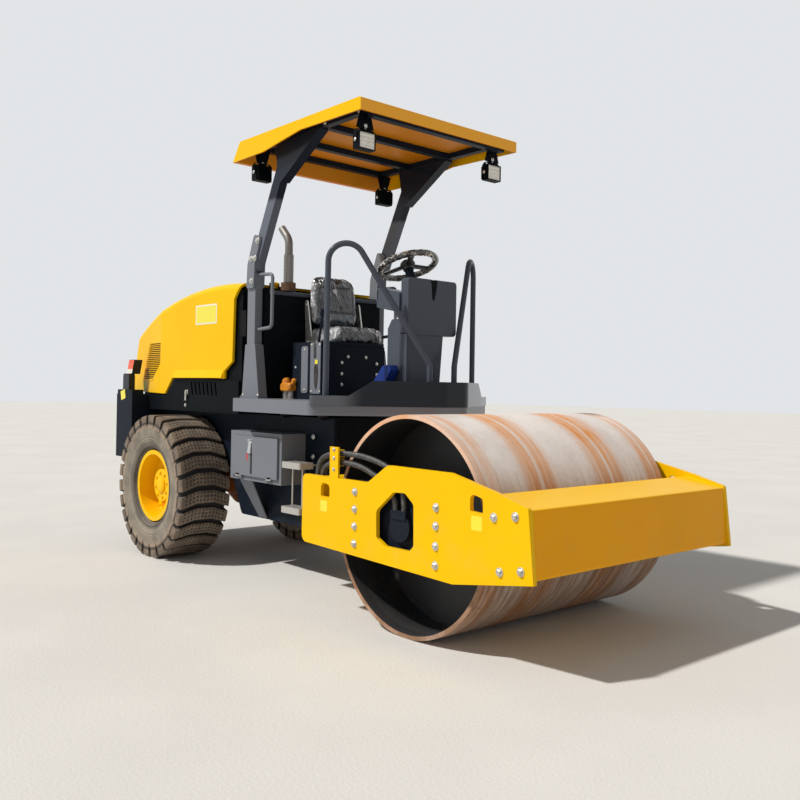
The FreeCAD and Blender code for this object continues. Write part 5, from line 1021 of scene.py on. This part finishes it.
# Console face: a dark gusset in the V where the two halves of the cover meet, and the ignition plate.
# Both are thin plates, fixed flat on the console and on the dash's rear face.
console_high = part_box("console")[1]
NOTCH = ((-0.030, 0.068), (0.030, 0.068), (0.022, 0.0), (0.004, -0.066), (-0.004, -0.066), (-0.014, 0.0))
notch_at = (console_high[0], 0.008, console_high[2] - 0.070)
notch = Piece().skin(slab(NOTCH, notch_at, LEFT, AHEAD, 0.0015, 0.0004))
notch.show("console_gusset", black)
ignition = Piece().plate((0.062, 0.112, 0.028, 8), (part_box("instrument_box")[0][0], -0.200, 1.948),
    (-1, 0, 0), 0.004, 0.001, LEFT)
ignition.show("ignition_plate", pale_slate)


# Exhaust: heat-tinted steel pipe in a perforated shield, clamped into a rusty foot on the cowl.
# The shield is rolled sheet with rows of staggered holes, drawn dark as painted shade.
pipe_steel = Finish("exhaust_steel")
scale = pipe_steel.noise(30.0, 5.0, 0.7)
foot = pipe_steel.axis("Z").step(2.120, 2.105)
heat = pipe_steel.axis("Z").step(2.45, 2.15) * scale.step(0.3, 0.7)
pipe_skin = pipe_steel.mix(heat * 0.7, (0.22, 0.21, 0.20), (0.10, 0.078, 0.060))
foot_rust = pipe_steel.mix(scale.step(0.35, 0.7), (0.20, 0.095, 0.045), (0.09, 0.045, 0.028))
pipe_steel.set(Base_Color=pipe_steel.mix(foot, pipe_skin, foot_rust), Metallic=(1 - foot) * 0.6,
    Roughness=scale * 0.4 + 0.30 + foot * 0.2, Normal=pipe_steel.bump(scale, 0.001))
pipe_steel.put_on("exhaust")
EXHAUST_X, EXHAUST_Y = -0.410, -0.280
shield_steel = Finish("shield_steel", "exhaust_steel")
around = (shield_steel.axis("Y") - EXHAUST_Y).math("ARCTAN2", shield_steel.axis("X") - EXHAUST_X)
row = shield_steel.axis("Z") / 0.011
shaded_hole = (around * 3.5 + row.math("FLOOR") * 0.5).in_cell().below(0.27) * row.in_cell().below(0.28)
shield_steel.set(Base_Color=shield_steel.mix(shaded_hole, (0.33, 0.31, 0.29), (0.02, 0.018, 0.016)),
    Metallic=(1 - shaded_hole) * 0.6, Roughness=0.42, Normal=shield_steel.bump(shaded_hole * -1.0, 0.002))
shield = Piece().skin(lathe([(0, 0.0300), (0, 0.0365), (0.205, 0.0365), (0.207, 0.0345), (0.207, 0.0300)],
    (EXHAUST_X, EXHAUST_Y, 2.112), UP, 40))
shield.show("exhaust_shield", shield_steel)


# Cowl trim: the rounded grey bar along its top front edge, and a dark mesh panel on each flank.
# The bar is capped tube, and the panels are woven wire pressed flat behind the posts.
cowl_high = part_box("engine_cowl")[1]
bar = Piece().skin(carried([(cowl_high[0] + 0.004, y, 2.016) for y in np.linspace(-0.505, 0.505, 9)],
    rounded(0.036, 0.030, 0.012), UP))
bar.show("cowl_bar", slate)
mesh_black = Finish("mesh_panel", "dark_paint")
weave = mesh_black.weave("X", "Z", 900.0)
mesh_black.set(Base_Color=mesh_black.mix(weave.step(-0.2, 0.3), (0.003, 0.003, 0.004), (0.010, 0.011, 0.013)),
    Roughness=0.8, Specular_IOR_Level=0.15, Normal=mesh_black.bump(weave, 0.0004))
vents = Piece()
for sign in (-1, 1):
    vents.plate((0.078, 0.190, 0.006), (-0.520, sign * cowl_high[1], 1.795), (0, sign, 0), 0.003, 0.001)
vents.show("cowl_vents", mesh_black)


# Side lockers: each drop-down door has a chromed toggle catch with its rubber pull strap and red tag,
# and two leaf hinges along its foot.
red = Finish("red_tag", "lamp_red").mottled(40.0, (0.70, 0.030, 0.040), (0.55, 0.02, 0.03), Roughness=0.4)
DOOR_FACE, CATCH_X = 0.659, -0.283
for side, sign in SIDES:
    body, out = f"locker_door_{side}", (0, sign, 0)
    face = sign * DOOR_FACE
    catch = Piece().plate((0.050, 0.030, 0.004), (CATCH_X, face, 0.955), out, 0.004, 0.001)
    catch.plate((0.034, 0.095, 0.008), (CATCH_X, face + sign * 0.004, 0.915), (0, sign, 0.12), 0.007, 0.002)
    for beside in (-0.014, 0.014):
        wire = [(CATCH_X + beside, face + sign * 0.008, level) for level in (0.965, 0.94, 0.90, 0.87)]
        catch.skin(carried(wire, circle(0.0032, 8), AHEAD))
    catch.skin(lathe([(-0.02, 0.005), (0.02, 0.005)], (CATCH_X, face + sign * 0.010, 0.962), AHEAD, 12))
    catch.show(f"locker_catch_{side}", chrome, body)
    strap = Piece().plate((0.020, 0.150, 0.008), (-0.268, face, 0.800), out, 0.005, 0.0012)
    strap.show(f"locker_strap_{side}", rubber, body)
    flag = Piece().plate((0.016, 0.050, 0.003), (-0.322, face, 0.845), out, 0.003, 0.0008)
    flag.show(f"locker_tag_{side}", red, body)
    leaves = Piece()
    for ahead in (-0.450, -0.040):
        leaves.skin(lathe([(-0.026, 0.003), (-0.025, 0.0045), (0.025, 0.0045), (0.026, 0.003)],
            (ahead, face + sign * 0.0035, 0.702), AHEAD, 12))
        leaves.plate((0.046, 0.016, 0.003), (ahead, face, 0.712), out, 0.002, 0.0006)
    leaves.show(f"locker_hinges_{side}", zinc, body)


# Steps: pressed aluminium treads with rows of raised holes, bright where boots have worn them.
# The holes are drawn dark, as painted shade, on level faces only, so the folded edges stay plain.
tread_plate = Finish("tread_plate")
HOLE_PITCH = 0.024
away = apart((tread_plate.axis("X") / HOLE_PITCH).in_cell(), (tread_plate.axis("Y") / HOLE_PITCH).in_cell())
level_face = tread_plate.facing("Z").step(0.6, 0.8)
shaded_hole = away.step(0.26, 0.22) * level_face
tread_plate.set(Base_Color=tread_plate.mix(shaded_hole, (0.50, 0.485, 0.46), (0.030, 0.029, 0.027)), Metallic=0.45,
    Roughness=0.42, Normal=tread_plate.bump(away.step(0.40, 0.28) * level_face - shaded_hole, 0.004))
tread_plate.put_on("steps")


# Tail lamps: an orange-red lens above a clear one in a black box, on a bracket over the counterweight.
# A blank yellow patch lies on each flank of the counterweight.
tail_glass = Finish("tail_lamp")
level = tail_glass.axis("Z")
lens = level.above(1.432) * level.below(1.547) * tail_glass.facing("X").below(0.7)
colour = tail_glass.mix(level.above(1.470), (0.80, 0.76, 0.66), (0.86, 0.10, 0.012))
tail_glass.set(Base_Color=tail_glass.mix(lens, (0.017, 0.021, 0.029), colour), Roughness=0.34 - lens * 0.16,
    Specular_IOR_Level=0.2, Coat_Weight=lens * 0.6 + 0.05,
    Normal=tail_glass.bump(tail_glass.weave("Y", "Z", 620.0) * lens, 0.001))
tail_glass.put_on("tail_lamps")
reflectors = Piece()
for sign in (-1, 1):
    reflectors.plate((0.085, 0.078, 0.004), (-2.195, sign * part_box("counterweight")[1][1], 1.250),
        (0, sign, 0), 0.004, 0.001, (1, 0, -0.25 * sign))
reflectors.show("side_reflectors", vinyl_yellow)


# Hood catches and chassis fasteners: a pull catch below each flank of the hood, and the bolts under
# the platform's rim. All zinc-plated.
catches, rim_bolts = Piece(), Piece()
deck_side, rim_foot = float(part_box("engine_deck")[1][1]), float(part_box("platform")[0][2])
for sign in (-1, 1):
    out = (0, sign, 0)
    catches.plate((0.044, 0.036, 0.004), (-1.325, sign * deck_side, 1.285), out, 0.004, 0.001)
    catches.plate((0.020, 0.085, 0.008), (-1.325, sign * (deck_side + 0.004), 1.258), out, 0.010, 0.003)
    catches.bolt((-1.345, sign * deck_side, 1.180), out, 0.018, 0.008)
    for ahead in (-0.380, -0.109, 0.330, 0.620):
        rim_bolts.bolt((ahead, sign * 0.700, rim_foot + 0.075), (0, 0, -1), 0.020, 0.012)
    for up_by in (1.005, 0.871):
        rim_bolts.bolt((0.204, sign * 0.470, up_by), out, 0.020, 0.012)
catches.show("hood_catches", zinc)
rim_bolts.show("platform_bolts", zinc)
